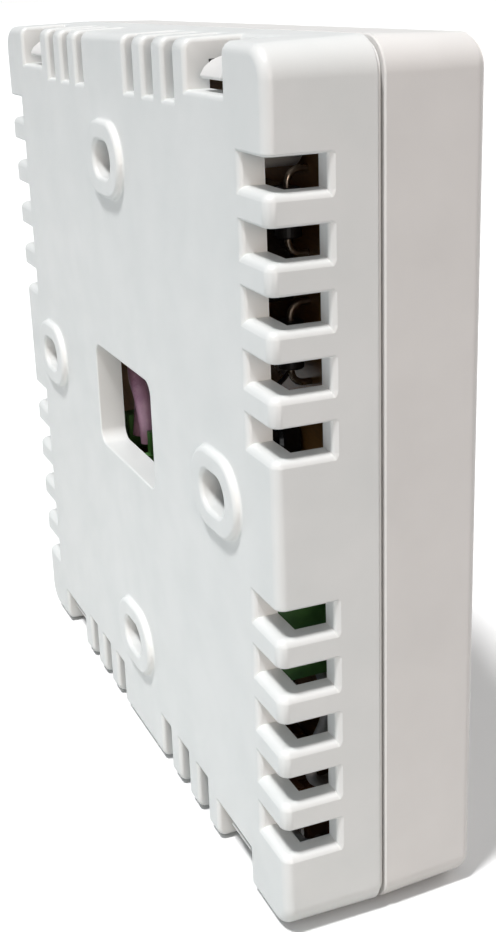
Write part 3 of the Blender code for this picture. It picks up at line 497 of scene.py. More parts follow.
def arc_tree():
    """Geometry nodes: marks standing round an arc in the XZ plane, centred on straight up."""
    tree, given = start_tree("marks_round_an_arc", Shape="Geometry", Count="Int", Radius="Float",
                             Travel="Float", Centre="Vector", Finish="Material")

    def sum_of(operation, links, settings=None):
        return add_node(tree, "ShaderNodeMath", {"operation": operation, **(settings or {})},
                        links).outputs[0]

    line = add_node(tree, "GeometryNodeMeshLine", None, {"Count": given["Count"]})
    index = add_node(tree, "GeometryNodeInputIndex").outputs[0]
    last = sum_of("SUBTRACT", {0: given["Count"]}, {1: 1.0})
    share = sum_of("DIVIDE", {0: index, 1: last})
    angle = sum_of("MULTIPLY", {0: sum_of("SUBTRACT", {0: share}, {1: 0.5}), 1: given["Travel"]})
    point = add_node(tree, "ShaderNodeCombineXYZ", None,
                     {"X": sum_of("SINE", {0: angle}), "Z": sum_of("COSINE", {0: angle})}).outputs[0]
    reach = add_node(tree, "ShaderNodeVectorMath", {"operation": "SCALE"},
                     {0: point, "Scale": given["Radius"]}).outputs[0]
    spot = add_node(tree, "ShaderNodeVectorMath", {"operation": "ADD"},
                    {0: reach, 1: given["Centre"]}).outputs[0]
    placed = add_node(tree, "GeometryNodeSetPosition", None,
                      {"Geometry": line.outputs["Mesh"], "Position": spot})
    turn = add_node(tree, "ShaderNodeCombineXYZ", None, {"Y": angle}).outputs[0]
    return end_tree(tree, given["Finish"],
                    {"Points": placed.outputs[0], "Instance": given["Shape"], "Rotation": turn})


def places_tree():
    """Geometry nodes: a shape at every point of the mesh."""
    tree, given = start_tree("copies_at_places", Places="Geometry", Shape="Object", Finish="Material")
    shape = add_node(tree, "GeometryNodeObjectInfo", None, {"Object": given["Shape"]})
    return end_tree(tree, given["Finish"],
                    {"Points": given["Places"], "Instance": shape.outputs["Geometry"]})


def grow(item, tree, inputs):
    """Run a geometry-node tree on an object with these named inputs, and keep the result."""
    modifier = item.modifiers.new("nodes", "NODES")
    modifier.node_group = tree
    for socket in tree.interface.items_tree:
        if socket.in_out == "INPUT" and socket.name in inputs:
            modifier[socket.identifier] = inputs[socket.name]
    return settle(item)


repeat_in_a_row = row_tree()
marks_round_an_arc = arc_tree()
copies_at_places = places_tree()


def row_of(shape, count, step, finish, name="row"):
    """Copies of a millimetre bmesh, each `step` from the last, as an object."""
    return grow(to_object(name, shape, finish), repeat_in_a_row,
                {"Count": count, "Step": [s * MM for s in step], "Finish": finish})


def copies_of(shape, places, finish, name="copies"):
    """Copies of a millimetre bmesh, one moved by each (x, z), as an object."""
    points = bmesh.new()
    for x, z in places:
        points.verts.new((x, 0.0, z))
    pattern = to_object("pattern", shape, finish)
    item = grow(to_object(name, points, finish), copies_at_places, {"Shape": pattern, "Finish": finish})
    bpy.data.objects.remove(pattern)
    return item


def taken(item):
    """An object's mesh back as a millimetre bmesh, the object removed."""
    shape = bmesh.new()
    shape.from_mesh(item.data)
    bmesh.ops.scale(shape, verts=shape.verts, vec=(1 / MM,) * 3)
    bpy.data.objects.remove(item)
    return shape


# --- rear base

def shell(steps):
    """A shell lofted through (depth, inset from the housing's outline) pairs."""
    return loft([(depth, outline(HALF - inset, HALF - inset, max(CORNER - inset, 0.5)))
                 for depth, inset in steps])


def side_reach(depth):
    """Half width of the rear shell at a depth, with its draft."""
    return HALF - DRAFT + DRAFT * max(depth - EDGE, 0.0) / (PARTING - PARTING_GAP / 2 - EDGE)


def vent_path(inner_end, level, end_radius):
    """Section of a vent cut whose floor follows the rear edge, `level` below the surface."""
    steps = 4
    flare = []
    for step in range(steps + 1):
        below = min(level, end_radius) * step / steps
        rise = end_radius - max(below, 0.0)
        flare.append((below, end_radius - math.sqrt(end_radius ** 2 - rise ** 2)))
    path = [(inner_end - end_radius, -3.0), (HALF + 3, -3.0), (HALF + 3, VENT_DEPTH + end_radius)]
    path += [(side_reach(VENT_DEPTH + spread) - below, VENT_DEPTH + spread) for below, spread in flare]
    path.append((side_reach(VENT_DEPTH) - level, VENT_DEPTH - 0.02))
    radius = max(EDGE - level, 0.02)
    centre = (side_reach(0.0) - level - radius, level + radius)
    for step in range(9):
        angle = math.radians(90 * step / 8)
        path.append((centre[0] + radius * math.cos(angle), centre[1] - radius * math.sin(angle)))
    path.append((inner_end + 0.02, level))
    path += [(inner_end - spread, below) for below, spread in reversed(flare)]
    return path


def vent_cutter(half, inner_end, low_radius, high_radius, deep=5.0):
    """One vent, centred on the origin along its row, with rounded sill and head."""
    sections = []
    for side, radius in ((-1, low_radius), (1, high_radius)):
        run = []
        for step in range(8):
            angle = math.radians(90 * step / 7)
            offset = half + radius - radius * math.sin(angle)
            level = radius * (1 - math.cos(angle)) if step else -0.03
            away = 1 - math.sin(angle)
            end_radius = max(END_RADIUS * math.sqrt(1 - away ** 2), 0.02)
            run.append((side * offset, vent_path(inner_end, level, end_radius)))
        run.append((side * (half - 0.01), vent_path(inner_end, deep, END_RADIUS)))
        sections += run if side < 0 else list(reversed(run))
    return skin([[(reach, y_at(depth), along) for reach, depth in path] for along, path in sections])


def faced(shape, side):
    """Turn a cutter made for the +X wall to another wall."""
    turns = {"left": Matrix.Diagonal((-1, 1, 1, 1)), "right": Matrix.Identity(4),
             "top": Matrix(((0, 0, 1, 0), (0, 1, 0, 0), (1, 0, 0, 0), (0, 0, 0, 1))),
             "bottom": Matrix(((0, 0, 1, 0), (0, 1, 0, 0), (-1, 0, 0, 0), (0, 0, 0, 1)))}
    moved(shape, turns[side])
    bmesh.ops.recalc_face_normals(shape, faces=shape.faces)
    return shape


def base_vents():
    """Every vent and notch round the rear edge, in rows."""
    cuts = []
    inner = HALF - DRAFT - VENT_LENGTH
    end_radii = (0.5, 0.5)

    def moved_vent(side, along, *shape):
        return faced(moved(vent_cutter(*shape), Matrix.Translation((0, 0, along))), side)

    for side in ("left", "right"):
        for first in (5.5 * VENT_PITCH, -1.5 * VENT_PITCH):
            one = moved_vent(side, first, VENT_HALF, inner, SILL_RADIUS, HEAD_RADIUS)
            cuts.append(taken(row_of(one, 5, (0, 0, -VENT_PITCH), base_abs)))
    for side in ("top", "bottom"):
        for first in (3.5 * VENT_PITCH, -1.5 * VENT_PITCH):
            one = moved_vent(side, first, VENT_HALF, inner, *end_radii)
            cuts.append(taken(row_of(one, 3, (-VENT_PITCH, 0, 0), base_abs)))
        for middle in (-NOTCH_MIDDLE, NOTCH_MIDDLE):
            cuts.append(moved_vent(side, middle, NOTCH_HALF, HALF - DRAFT - NOTCH_LENGTH, *end_radii))
    return gather(cuts)


def fixing_places():
    return [(0, FIXING_RADIUS), (0, -FIXING_RADIUS), (FIXING_RADIUS, 0), (-FIXING_RADIUS, 0)]


def fixing_boss(centre):
    """A raised oblong pad: a small fillet at its foot and a rounded rim."""
    foot = 0.3
    steps = [(0.6, foot)] + [(-drop, inset) for inset, drop in quarter(foot, 4)]
    steps += [(drop - BOSS_HEIGHT, -inset) for inset, drop in reversed(quarter(BOSS_RIM, 6))]
    return loft([(depth, outline(BOSS_HALF_X + grown, BOSS_HALF_Z + grown, BOSS_HALF_Z + grown - 0.02,
                                 centre)) for depth, grown in steps])


def flared_hole(half_x, half_z, radius, centre, top, bottom, flare):
    """A through-hole cutter whose mouth at depth `top` is rounded over."""
    steps = [(top - 2, flare)] + [(top + drop, inset) for inset, drop in quarter(flare, 5)]
    return loft([(depth, outline(half_x + grown, half_z + grown, radius + grown, centre))
                 for depth, grown in steps + [(bottom, 0.0)]])


def hook_channels():
    """Room for the hooks in the base's wall."""
    cuts = []
    for sign, side in HOOK_PLACES:
        ends = sorted((sign * (HALF - WALL - 0.6), sign * (HOOK_PEAK + GAP)))
        cuts.append(box((side * HOOK_X - HOOK_HALF - GAP, VENT_DEPTH - 0.5, ends[0]),
                        (side * HOOK_X + HOOK_HALF + GAP, PARTING + LIP_LENGTH + 1, ends[1])))
    return gather(cuts)


def post(centre, radius, top):
    return turned([(0, PLATE - 0.5), (radius + 0.4, PLATE - 0.5), (radius + 0.4, PLATE),
                   (radius + 0.1, PLATE + 0.12), (radius, PLATE + 0.4), (radius, top - ARRIS),
                   (radius - ARRIS, top), (0, top)], centre, 48)


def bore(centre, radius, floor, top):
    return turned([(0, floor), (radius, floor), (radius, top + 1), (0, top + 1)], centre, 32)


def make_rear_base():
    inner = DRAFT + WALL
    edge = PARTING - PARTING_GAP / 2
    lip = PARTING + LIP_LENGTH
    steps = [(drop, DRAFT + inset) for inset, drop in quarter(EDGE, 8)]
    steps += [(edge - ARRIS, 0.0), (edge, ARRIS), (edge, STEP), (PARTING + 0.12, STEP),
              (PARTING + 0.12, WALL - LIP), (lip - ARRIS, WALL - LIP), (lip, WALL - LIP + ARRIS),
              (lip, WALL - ARRIS), (lip - ARRIS, WALL), (PLATE, inner)]
    base = to_object("base_shell", shell(steps), base_abs)
    add(base, gather([fixing_boss(centre) for centre in fixing_places()]))
    middle = (0.0, (OPENING_TOP + OPENING_BOTTOM) / 2)
    tall = (OPENING_TOP - OPENING_BOTTOM) / 2
    inside = [loft([(PLATE - 0.5, outline(OPENING_HALF + 1.3, tall + 1.3, 2.9, middle)),
                    (PLATE + 0.45, outline(OPENING_HALF + 1.3, tall + 1.3, 2.9, middle)),
                    (PLATE + 0.6, outline(OPENING_HALF + 1.15, tall + 1.15, 2.75, middle))])]
    inside += [post(centre, 3.1, BOARD_BACK - GAP) for centre in POSTS]
    strip_fixings = [(STRIP_LEFT + 3.0, STRIP_Z), (STRIP_RIGHT - 3.0, STRIP_Z)]
    inside += [post(centre, 2.2, 6.0) for centre in strip_fixings]
    add(base, gather(inside))
    cut(base, base_vents())
    cut(base, hook_channels())
    holes = [flared_hole(OPENING_HALF, tall, OPENING_CORNER, middle, 0.0, PLATE + 2, OPENING_FLARE)]
    for centre in fixing_places():
        holes.append(flared_hole(SLOT_HALF_X, SLOT_HALF_Z, SLOT_HALF_Z - 0.02, centre,
                                 -BOSS_HEIGHT, PLATE + 1, SLOT_FLARE))
    holes += [bore(centre, 1.5, 5.0, BOARD_BACK) for centre in POSTS]
    holes += [bore(centre, 1.3, 3.4, 6.0) for centre in strip_fixings]
    cut(base, gather(holes))
    place(base, "base", ["rear_base"])


# --- front cover

def snap_hooks():
    """Four hooks: an arm with a ramped catch, its edges eased."""
    inner = HOOK_OUTER - HOOK_THICK
    root = COVER_INNER + 0.5
    wall = HALF - WALL + 0.5
    leave = PARTING + 3.5
    ramp = [(HOOK_TIP, inner + 0.35), (1.1, inner + 1.0), (1.9, inner + 1.6), (3.2, inner + 2.03),
            (4.9, HOOK_PEAK - 0.25), (HOOK_CATCH - 0.1, HOOK_PEAK - 0.08), (HOOK_CATCH, HOOK_PEAK - 0.3)]
    profile = [(root, inner), (HOOK_TIP, inner)] + ramp + [(HOOK_CATCH, HOOK_OUTER), (leave, HOOK_OUTER),
                                                           (leave + 1.0, wall), (root, wall)]
    hooks = [prism_x([(depth, sign * z) for depth, z in profile],
                     side * HOOK_X - HOOK_HALF, side * HOOK_X + HOOK_HALF) for sign, side in HOOK_PLACES]
    return taken(round_edges(to_object("hooks", gather(hooks)), 0.3, 3, 50))


def round_mouth(radius, centre, segments):
    """Cutter of a round hole in the cover's face, its mouth chamfered."""
    wide = radius + MOUTH_FLARE
    return turned([(0, SHELL_DEPTH + 2), (wide, SHELL_DEPTH + 2), (wide, SHELL_DEPTH),
                   (radius, SHELL_DEPTH - MOUTH_FLARE), (radius, COVER_INNER - 1), (0, COVER_INNER - 1)],
                  centre, segments)


def rocker_mouth():
    """Cutter of the rocker's window, its mouth rounded over."""
    def window(grown):
        return outline(4.5 + grown, 8.2 + grown, 0.8 + grown, ROCKER)

    sections = [(COVER_INNER - 1, window(0.0))]
    sections += [(SHELL_DEPTH - drop, window(inset)) for inset, drop in reversed(quarter(MOUTH_FLARE, 4))]
    return loft(sections + [(SHELL_DEPTH + 2, window(MOUTH_FLARE))])


def make_front_cover():
    rebate = WALL - LIP - GAP
    edge = PARTING + PARTING_GAP / 2
    inside = PARTING + LIP_LENGTH + GAP
    steps = [(SHELL_DEPTH - drop, DRAFT + inset) for inset, drop in quarter(EDGE, 8)]
    steps += [(edge + ARRIS, 0.0), (edge, ARRIS), (edge, rebate - 0.05), (edge + 0.1, rebate),
              (inside, rebate), (inside, WALL)]
    steps += [(COVER_INNER - rise, WALL + DRAFT + inset)
              for rise, inset in ((0.8, 0.0), (0.35, 0.12), (0.1, 0.4), (0.0, 0.8))]
    cover = to_object("cover_shell", shell(steps), cover_abs)
    add(cover, snap_hooks())
    cut(cover, gather([round_mouth(DIAL_BORE, (0, DIAL_Z), 72), round_mouth(LAMP_BORE, LAMP, 40),
                       rocker_mouth()]))
    place(cover, "cover", ["front_cover"])


# --- dial, scale and pointer

def make_dial():
    """The knob: fluted skirt, raised rim round a dished face, hub, groove, spindle and stop."""
    flutes = 60

    def flute(radius, depth, angle):
        if radius < DIAL_RADIUS - 0.9 or depth < DIAL_BACK + 0.25:
            return 0.0
        fade = min(1.0, max(0.0, (DIAL_FRONT - 0.35 - depth) / 1.2))
        return 0.32 * fade * (0.5 - 0.5 * math.cos(angle * flutes)) ** 1.5

    front = DIAL_FRONT
    profile = [(radius, front - drop) for radius, drop in (
        (0, 0.55), (9.0, 0.5), (14.5, 0.38), (16.6, 0.3), (17.2, 0.2), (17.6, 0.03), (18.0, 0.0),
        (18.9, 0.0), (19.5, 0.08), (20.1, 0.35), (20.6, 0.8), (20.9, 1.3), (21.0, 1.7))]
    profile += [(21.0, DIAL_BACK + 0.6), (21.0, DIAL_BACK + 0.3), (20.85, DIAL_BACK + 0.06),
                (20.6, DIAL_BACK), (19.0, DIAL_BACK), (18.8, DIAL_BACK + 0.2),
                (18.8, front - 2.4), (18.6, front - 2.2), (6.7, front - 2.2), (6.5, front - 2.4),
                (6.5, DIAL_BACK + 0.2), (6.3, DIAL_BACK), (5.0, DIAL_BACK), (5.0, 19.55),
                (4.2, 19.55), (4.2, 18.65), (5.0, 18.65), (4.9, 18.5), (0, 18.5)]
    dial = to_object("dial_knob", turned(profile, (0, DIAL_Z), flutes * 8, flute), dial_abs)
    add(dial, box((-1.3, 16.0, DIAL_Z - 1.3), (1.3, 18.6, DIAL_Z + 1.3)))
    add(dial, box((-0.6, SHELL_DEPTH + 1.8, DIAL_Z - 14.6), (0.6, front - 2.0, DIAL_Z - 6.0)))
    slot = outline(0.7, 4.25, 0.65, POINTER)
    cut(dial, loft([(front - 0.8, slot), (front + 1, slot)]))
    place(dial, "dial", ["setting_dial"])
    bar = [(depth, outline(0.5 - inset, 4.05 - inset, 0.45 - inset, POINTER))
           for depth, inset in ((front - 0.6, 0.0), (front - 0.02, 0.0), (front + 0.1, 0.12))]
    place(to_object("pointer_bar", loft(bar), pointer_abs), "dial", ["dial_pointer"])


def make_scale():
    """Printed ticks and numbers on the cover round the dial."""
    face = y_at(SHELL_DEPTH)
    travel = math.radians(2 * DIAL_TRAVEL)
    long_tick = outline(0.18, 1.1, 0.12, steps=3)
    short_tick = outline(0.12, 0.6, 0.08, steps=3)
    marks = []
    for count, shape, radius in ((6, long_tick, 23.6), (26, short_tick, 23.1)):
        rings = [[(x, -0.03 * step, z) for x, z in shape] for step in (0, 1)]
        item = to_object("ticks", skin(rings), print_grey)
        marks.append(taken(grow(item, marks_round_an_arc, {
            "Count": count, "Radius": radius * MM, "Travel": travel,
            "Centre": (0.0, face * MM, DIAL_Z * MM), "Finish": print_grey})))
    for index in range(6):
        angle = math.radians(-DIAL_TRAVEL + 2 * DIAL_TRAVEL * index / 5)
        curve = bpy.data.curves.new("number", "FONT")
        curve.body = str(5 + 5 * index)
        curve.size = 3.4
        curve.extrude = 0.015
        curve.align_x = "CENTER"
        curve.align_y = "CENTER"
        shape = bmesh.new()
        shape.from_mesh(curve_mesh(curve))
        spot = Matrix.Translation((NUMBER_REACH * math.sin(angle), face - curve.extrude,
                                   DIAL_Z + NUMBER_REACH * math.cos(angle)))
        marks.append(moved(shape, spot @ Matrix.Rotation(math.radians(90), 4, "X")))
    scale = to_object("printed_scale", gather(marks), print_grey)
    place(scale, "cover")


def make_rocker():
    """The rocker: dished face between two raised ends, soft edges, pins in the case."""
    side = [(3.2, -0.9), (4.4, 1.5), (6.9, 2.5), (7.2, 5.2), (4.4, 4.75), (2.2, 4.42)]
    profile = side + [(0.0, 4.3)] + [(-z, reach) for z, reach in reversed(side)]
    middle, height = ROCKER
    shape = prism_x([(ROCKER_PIVOT + reach, height + z) for z, reach in profile],
                    middle - 4.0, middle + 4.0)
    rocker = round_edges(to_object("rocker_key", shape, rocker_abs), 0.32, 4, 30)
    pins = turned([(0, -4.9), (0.5, -4.9), (0.5, 4.9), (0, 4.9)], segments=24)
    spot = Matrix.Translation((middle, y_at(ROCKER_PIVOT), height))
    home = Matrix.Rotation(math.radians(90), 4, "Z") @ Matrix.Translation((0, BOSS_HEIGHT, 0))
    add(rocker, moved(pins, spot @ home))
    sunk = ROCKER_PIVOT + 4.5
    line = outline(0.28, 1.1, 0.26, (middle, height + 4.6), 6)
    ring = [(0.6, sunk), (1.0, sunk), (1.0, sunk + 2), (0.6, sunk + 2)]
    cut(rocker, gather([loft([(sunk, line), (sunk + 2, line)]),
                        turned(ring, (middle, height - 4.6), 32)]))
    pivot = Vector((middle, y_at(ROCKER_PIVOT), height)) * MM
    turn = Matrix.Translation(pivot) @ Matrix.Rotation(math.radians(ROCKER_TILT), 4, "X") \
        @ Matrix.Translation(-pivot)
    rocker.data.transform(turn)
    place(rocker, "rocker", ["switch_rocker"])


# --- parts inside

def tube(name, points, radius, material):
    """A round wire through (x, depth, z) points, closed at both ends."""
    curve = bpy.data.curves.new(name, "CURVE")
    curve.dimensions = "3D"
    curve.bevel_depth = radius * MM
    curve.bevel_resolution = 8
    curve.resolution_u = 16
    curve.use_fill_caps = True
    spline = curve.splines.new("BEZIER")
    spline.bezier_points.add(len(points) - 1)
    for knot, (x, depth, z) in zip(spline.bezier_points, points):
        knot.co = (x * MM, y_at(depth) * MM, z * MM)
        knot.handle_left_type = "AUTO"
        knot.handle_right_type = "AUTO"
    mesh = curve_mesh(curve)
    mesh.materials.append(material)
    return in_scene(name, mesh)


def make_wires():
    entry = FIRST_POLE + POLE_PITCH * (POLES - 1)
    wires = {
        "mauve_lead_near": ("lead_wire_1", LEAD_RADIUS, mauve_pvc, [
            (entry - 1.6, LEAD_ENTRY, -7.9), (entry - 1.4, 6.1, -5.2), (entry - 0.9, 5.9, -2.4),
            (entry + 2.2, 6.2, 0.6), (entry + 5.6, 7.8, 4.6), (entry + 6.6, 9.6, 10.6),
            (entry + 6.6, WIRE_END, 11.6)]),
        "mauve_lead_far": ("lead_wire_2", LEAD_RADIUS, mauve_pvc, [
            (entry + 1.6, LEAD_ENTRY, -7.9), (entry + 1.8, 6.6, -5.0), (entry + 3.6, 7.4, -1.4),
            (entry + 7.4, 8.2, 3.0), (entry + 10.2, 9.6, 10.6), (entry + 10.2, WIRE_END, 11.6)]),
        "grey_link": ("link_wire", LINK_RADIUS, grey_pvc, [
            (-34.8, 8.6, STRIP_BOTTOM - 2 * GAP), (-36.5, 8.4, -21.0), (-38.1, 7.7, -23.0),
            (-38.6, 6.0, -26.2), (-38.2, 5.7, -29.4), (-36.9, 7.6, -31.7), (-35.0, WIRE_END, -32.3)])}
    for name, (node, radius, insulation, route) in wires.items():
        place(tube(name, route, radius, insulation), "base", [node])
    leg_end = BOARD_BACK + 0.4
    legs = [[(DIODE_X, DIODE_DEPTH, z + 2.4 * end), (DIODE_X, DIODE_DEPTH, z + 3.1 * end),
             (DIODE_X, DIODE_DEPTH + 0.6, z + 4.0 * end), (DIODE_X, leg_end, z + 4.3 * end)]
            for z in DIODES_Z for end in (-1, 1)]
    place(tin_legs("diode_legs", legs, 0.36), "base")
    legs = [[(26.0, 8.0, -29.0 + side * 0.6), (27.2, 8.4, -29.0 + side * 0.8),
             (29.2, 9.6, -29.0 + side), (29.8, leg_end, -29.0 + side)] for side in (-1, 1)]
    place(tin_legs("sensor_legs", legs, 0.25), "base")


def tin_legs(name, routes, radius):
    """Bare tinned legs of small parts, in one piece."""
    return to_object(name, gather([taken(tube("leg", route, radius, tinned_copper)) for route in routes]),
                     tinned_copper)


def make_bands():
    """The cathode bands printed round the diodes, and the cans' aluminium ends with scored vents."""
    bands = []
    for z in DIODES_Z:
        band = turned([(1.3, 0.0), (1.375, 0.0), (1.375, 0.8), (1.3, 0.8)], segments=32)
        upright = Matrix.Translation((DIODE_X, y_at(DIODE_DEPTH), z + 2.2)) \
            @ Matrix.Rotation(math.radians(90), 4, "X") @ Matrix.Translation((0, BOSS_HEIGHT, 0))
        bands.append(moved(band, upright))
    place(to_object("cathode_bands", gather(bands), print_silver), "base")
    ends = {"upper_can_end": ("electrolytic_capacitor", (-25.0, y_at(7.6), 11.6), -90),
            "lower_can_end": ("filter_capacitor", (-20.5, y_at(4.0), 1.5), 180)}
    for name, (slot, spot, turn) in ends.items():
        disc = to_object(name, turned([(0, 0.16), (1.6, 0.15), (2.5, 0.11), (3.0, 0.06), (3.2, -0.05),
                                       (3.2, -0.2), (0, -0.2)], segments=48), can_aluminium)
        for long, wide in ((2.3, 0.13), (0.13, 2.3)):
            cut(disc, box((-long, 0.04, -wide), (long, 1.0, wide)))
        disc.data.transform(Matrix.Scale(MM, 4) @ Matrix.Translation(spot)
                            @ Matrix.Rotation(math.radians(turn), 4, "Z")
                            @ Matrix.Translation((0, BOSS_HEIGHT, 0)) @ Matrix.Scale(1 / MM, 4))
        place(disc, "base")


def screw_shape(centre, seat, length, head, shank, cross=True):
    """A pan-head screw with a domed head and a cross recess."""
    height = 0.55 * head
    profile = [(0, seat - length), (shank * 0.6, seat - length), (shank, seat - length + 0.8),
               (shank, seat), (head - 0.06, seat), (head, seat + 0.08), (head, seat + height * 0.4),
               (head * 0.95, seat + height * 0.62), (head * 0.8, seat + height * 0.83),
               (head * 0.55, seat + height * 0.95), (0, seat + height)]
    item = to_object("screw", turned(profile, centre, 40))
    half = head * 0.12
    top = seat + height
    x, z = centre
    cut(item, box((x - head * 0.55, top - height * 0.5, z - half), (x + head * 0.55, top + 1, z + half)))
    if cross:
        cut(item, box((x - half, top - height * 0.5, z - head * 0.55),
                      (x + half, top + 1, z + head * 0.55)))
    return taken(item)


def make_screws():
    board = copies_of(screw_shape((0.0, 0.0), BOARD_FRONT + GAP, 8.5, 2.6, 1.2), POSTS, zinc_plate,
                      "board_screws")
    place(board, "base", numbered("board_screw", len(POSTS)))
    strip = row_of(screw_shape((STRIP_LEFT + 3.0, STRIP_Z), 8.5 + GAP, 5.0, 2.2, 1.0), 2,
                   (STRIP_RIGHT - STRIP_LEFT - 6.0, 0, 0), zinc_plate, "strip_screws")
    place(strip, "base", numbered("strip_screw", 2))
    clamps = row_of(screw_shape((FIRST_POLE, STRIP_Z), 8.2 + GAP, 1.9, 2.2, 1.15, cross=False), POLES,
                    (POLE_PITCH, 0, 0), zinc_plate, "terminal_screws")
    place(clamps, "base", numbered("terminal_screw", POLES))


def solder_joint(centre, depth, direction):
    """A small cone of solder round a clipped pin, standing off one face of the board."""
    profile = [(0, 0), (0.95, 0.0), (0.82, 0.12), (0.55, 0.35), (0.42, 0.62), (0.3, 0.85), (0, 0.9)]
    return turned([(radius, depth + direction * rise) for radius, rise in profile], centre, 20)


FRONT_JOINTS = (
    (-22.6, 18.4), (-22.6, 27.6), (-21.8, 23.0), (-14.0, 18.2), (-9.2, 18.2),   # relay
    (-9.0, 9.9), (-9.0, 13.3), (-22.3, 1.5), (-18.7, 1.5),                      # round capacitors
    (-34, -36.2), (-24, -36.2), (12.0, 20.0), (17.0, 20.0),                 # film one, varistor
    (-26.6, 31.0), (-26.6, 22.4), (-26.6, 17.5), (-26.6, 8.9),                  # diodes
    (-10.6, -24.0), (-10.6, -27.4), (-10.6, -30.8), (-1.4, -24.0), (-1.4, -27.4), (-1.4, -30.8),
    (17.5, 11.6), (21.1, 11.6), (-35.0, -32.3),                                 # insulated wires
    (29.8, -28.0), (29.8, -30.0), (30.0, 12.5))                                 # sensor
REAR_JOINTS = (
    (-2.5, 18.6), (0.0, 18.6), (2.5, 18.6), (-23.3, -30.0), (-20.7, -30.0),
    (19.2, -34.0), (24.8, -34.0), (19.2, -26.0), (24.8, -26.0))
WIDE_TRACKS = (
    ((-26.6, 22.4), (-26.6, 17.5)),
    ((-26.6, 31.0), (-29.5, 33.9), (-29.5, 35.5), (-27.4, 37.6), (20, 37.6), (25, 32.6), (25, 25.5),
     (19.5, 20), (17, 20)),
    ((-26.6, 8.9), (-26.6, 4.2), (-23.9, 1.5), (-22.3, 1.5)),
    ((-18.7, 1.5), (-18.7, 7.0), (-15.8, 9.9), (-9.0, 9.9)),
    ((-9.0, 13.3), (-13.0, 17.3), (-14.0, 18.2)),
    ((-22.6, 27.6), (-22.6, 29.6), (-17, 35.2), (8, 35.2), (12, 31.2), (12, 20)),
    ((17, 20), (17.5, 17), (17.5, 11.6)),
    ((21.1, 11.6), (25.5, 16), (34.6, 16), (36.6, 14), (36.6, -26), (34.6, -28), (29.8, -28)),
    ((-35, -32.3), (-36.5, -33.8), (-36.5, -35), (-34, -36.2)),
    ((-24, -36.2), (-19.5, -31.7), (-11.5, -31.7), (-10.6, -30.8)))
FINE_TRACKS = (
    ((-1.4, -24), (6, -24), (8.5, -26.5), (16, -26.5)),
    ((-1.4, -27.4), (5, -27.4), (7.2, -29.6), (16, -29.6)),
    ((-1.4, -30.8), (4, -30.8), (7.4, -34.2), (16, -34.2)),
    ((-10.6, -24), (-16, -24), (-19.6, -27.6)), ((-10.6, -27.4), (-15, -27.4), (-17.6, -30)),
    ((-8.4, 22.83), (-6.0, 20.4)), ((-8.4, 24.1), (-5.3, 21.0)),
    ((-8.4, 25.37), (-2.0, 25.4), (0, 23.4), (0, 20.9)),
    ((-8.4, 26.64), (1.5, 26.6), (3.5, 24.6), (3.5, 20.9)),
    ((29.8, -30), (33.5, -26.3), (33.5, 6), (30, 9.5), (30, 12.5)))


def track(points, width, step):
    """A copper track of constant width along (x, z) points, with mitred bends."""
    points = [Vector(p) for p in points]
    runs = [(b - a).normalized() for a, b in zip(points, points[1:])]
    left, right = [], []
    for i, point in enumerate(points):
        before, after = runs[max(i - 1, 0)], runs[min(i, len(runs) - 1)]
        across = Vector((-before.y - after.y, before.x + after.x)).normalized()
        reach = width / 2 / max(across.dot(Vector((-before.y, before.x))), 0.5)
        left.append(point + across * reach)
        right.append(point - across * reach)
    ring = left + right[::-1]
    return loft([(BOARD_FRONT - 0.1, ring), (BOARD_FRONT + step, ring)])


def make_board_details():
    """Solder joints over the parts' legs, copper tracks, and the chip's two rows of legs."""
    joints = taken(copies_of(solder_joint((0.0, 0.0), BOARD_FRONT + 0.04, 1), FRONT_JOINTS, tin_solder))
    behind = taken(copies_of(solder_joint((0.0, 0.0), BOARD_BACK - 0.02, -1), REAR_JOINTS, tin_solder))
    place(to_object("solder_joints", gather([joints, behind]), tin_solder), "base")
    tracks = [track(points, 1.3, 0.06) for points in WIDE_TRACKS]
    tracks += [track(points, 0.5, 0.05) for points in FINE_TRACKS]
    place(to_object("copper_tracks", gather(tracks), track_copper), "base")
    middle = BOARD_FRONT + GAP + 0.75
    leg = [(3.7, middle), (4.5, middle), (4.9, BOARD_FRONT + 0.3), (5.6, BOARD_FRONT + 0.1),
           (5.6, BOARD_FRONT + 0.3), (5.1, BOARD_FRONT + 0.5), (4.7, middle + 0.2), (3.7, middle + 0.2)]
    legs = []
    for side in (-1, 1):
        shape = skin([[(CHIP_X + side * x, y_at(depth), z) for x, depth in leg] for z in (21.36, 21.76)])
        legs.append(taken(row_of(shape, 8, (0, 0, 1.27), tinned_copper)))
    place(to_object("chip_legs", gather(legs), tinned_copper), "base")


def numbered(name, count):
    return ["%s_%d" % (name, n) for n in range(1, count + 1)]


def carry_over():
    """Give each CAD node that stays its own finish."""
    finishes = {
        board_laminate: ["main_board"], relay_case: ["relay"],
        can_sleeve: ["electrolytic_capacitor", "filter_capacitor"], film_dip: ["film_capacitor"],
        diode_epoxy: numbered("diode", 2), varistor_dip: ["varistor"], chip_epoxy: ["controller_chip"],
        resistor_coat: numbered("resistor", 3), sensor_epoxy: ["temperature_sensor"],
        case_blue: ["potentiometer_body"], rotor_acetal: ["potentiometer_rotor"],
        switch_case: ["switch_body"], lamp_epoxy: ["status_lamp"], guide_acrylic: ["light_guide"],
        spring_steel: ["dial_retainer"], low_ring_abs: ["minimum_limit_ring"],
        high_ring_abs: ["maximum_limit_ring"], terminal_polyamide: ["terminal_strip"],
        nickel_brass: numbered("terminal_clamp", POLES)}
    for finish, names in finishes.items():
        for name in names:
            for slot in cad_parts[name].material_slots:
                slot.material = finish


make_rear_base()
make_front_cover()
make_dial()
make_scale()
make_rocker()
make_wires()
make_bands()
make_screws()
make_board_details()
carry_over()


# --- stage, lamps, camera

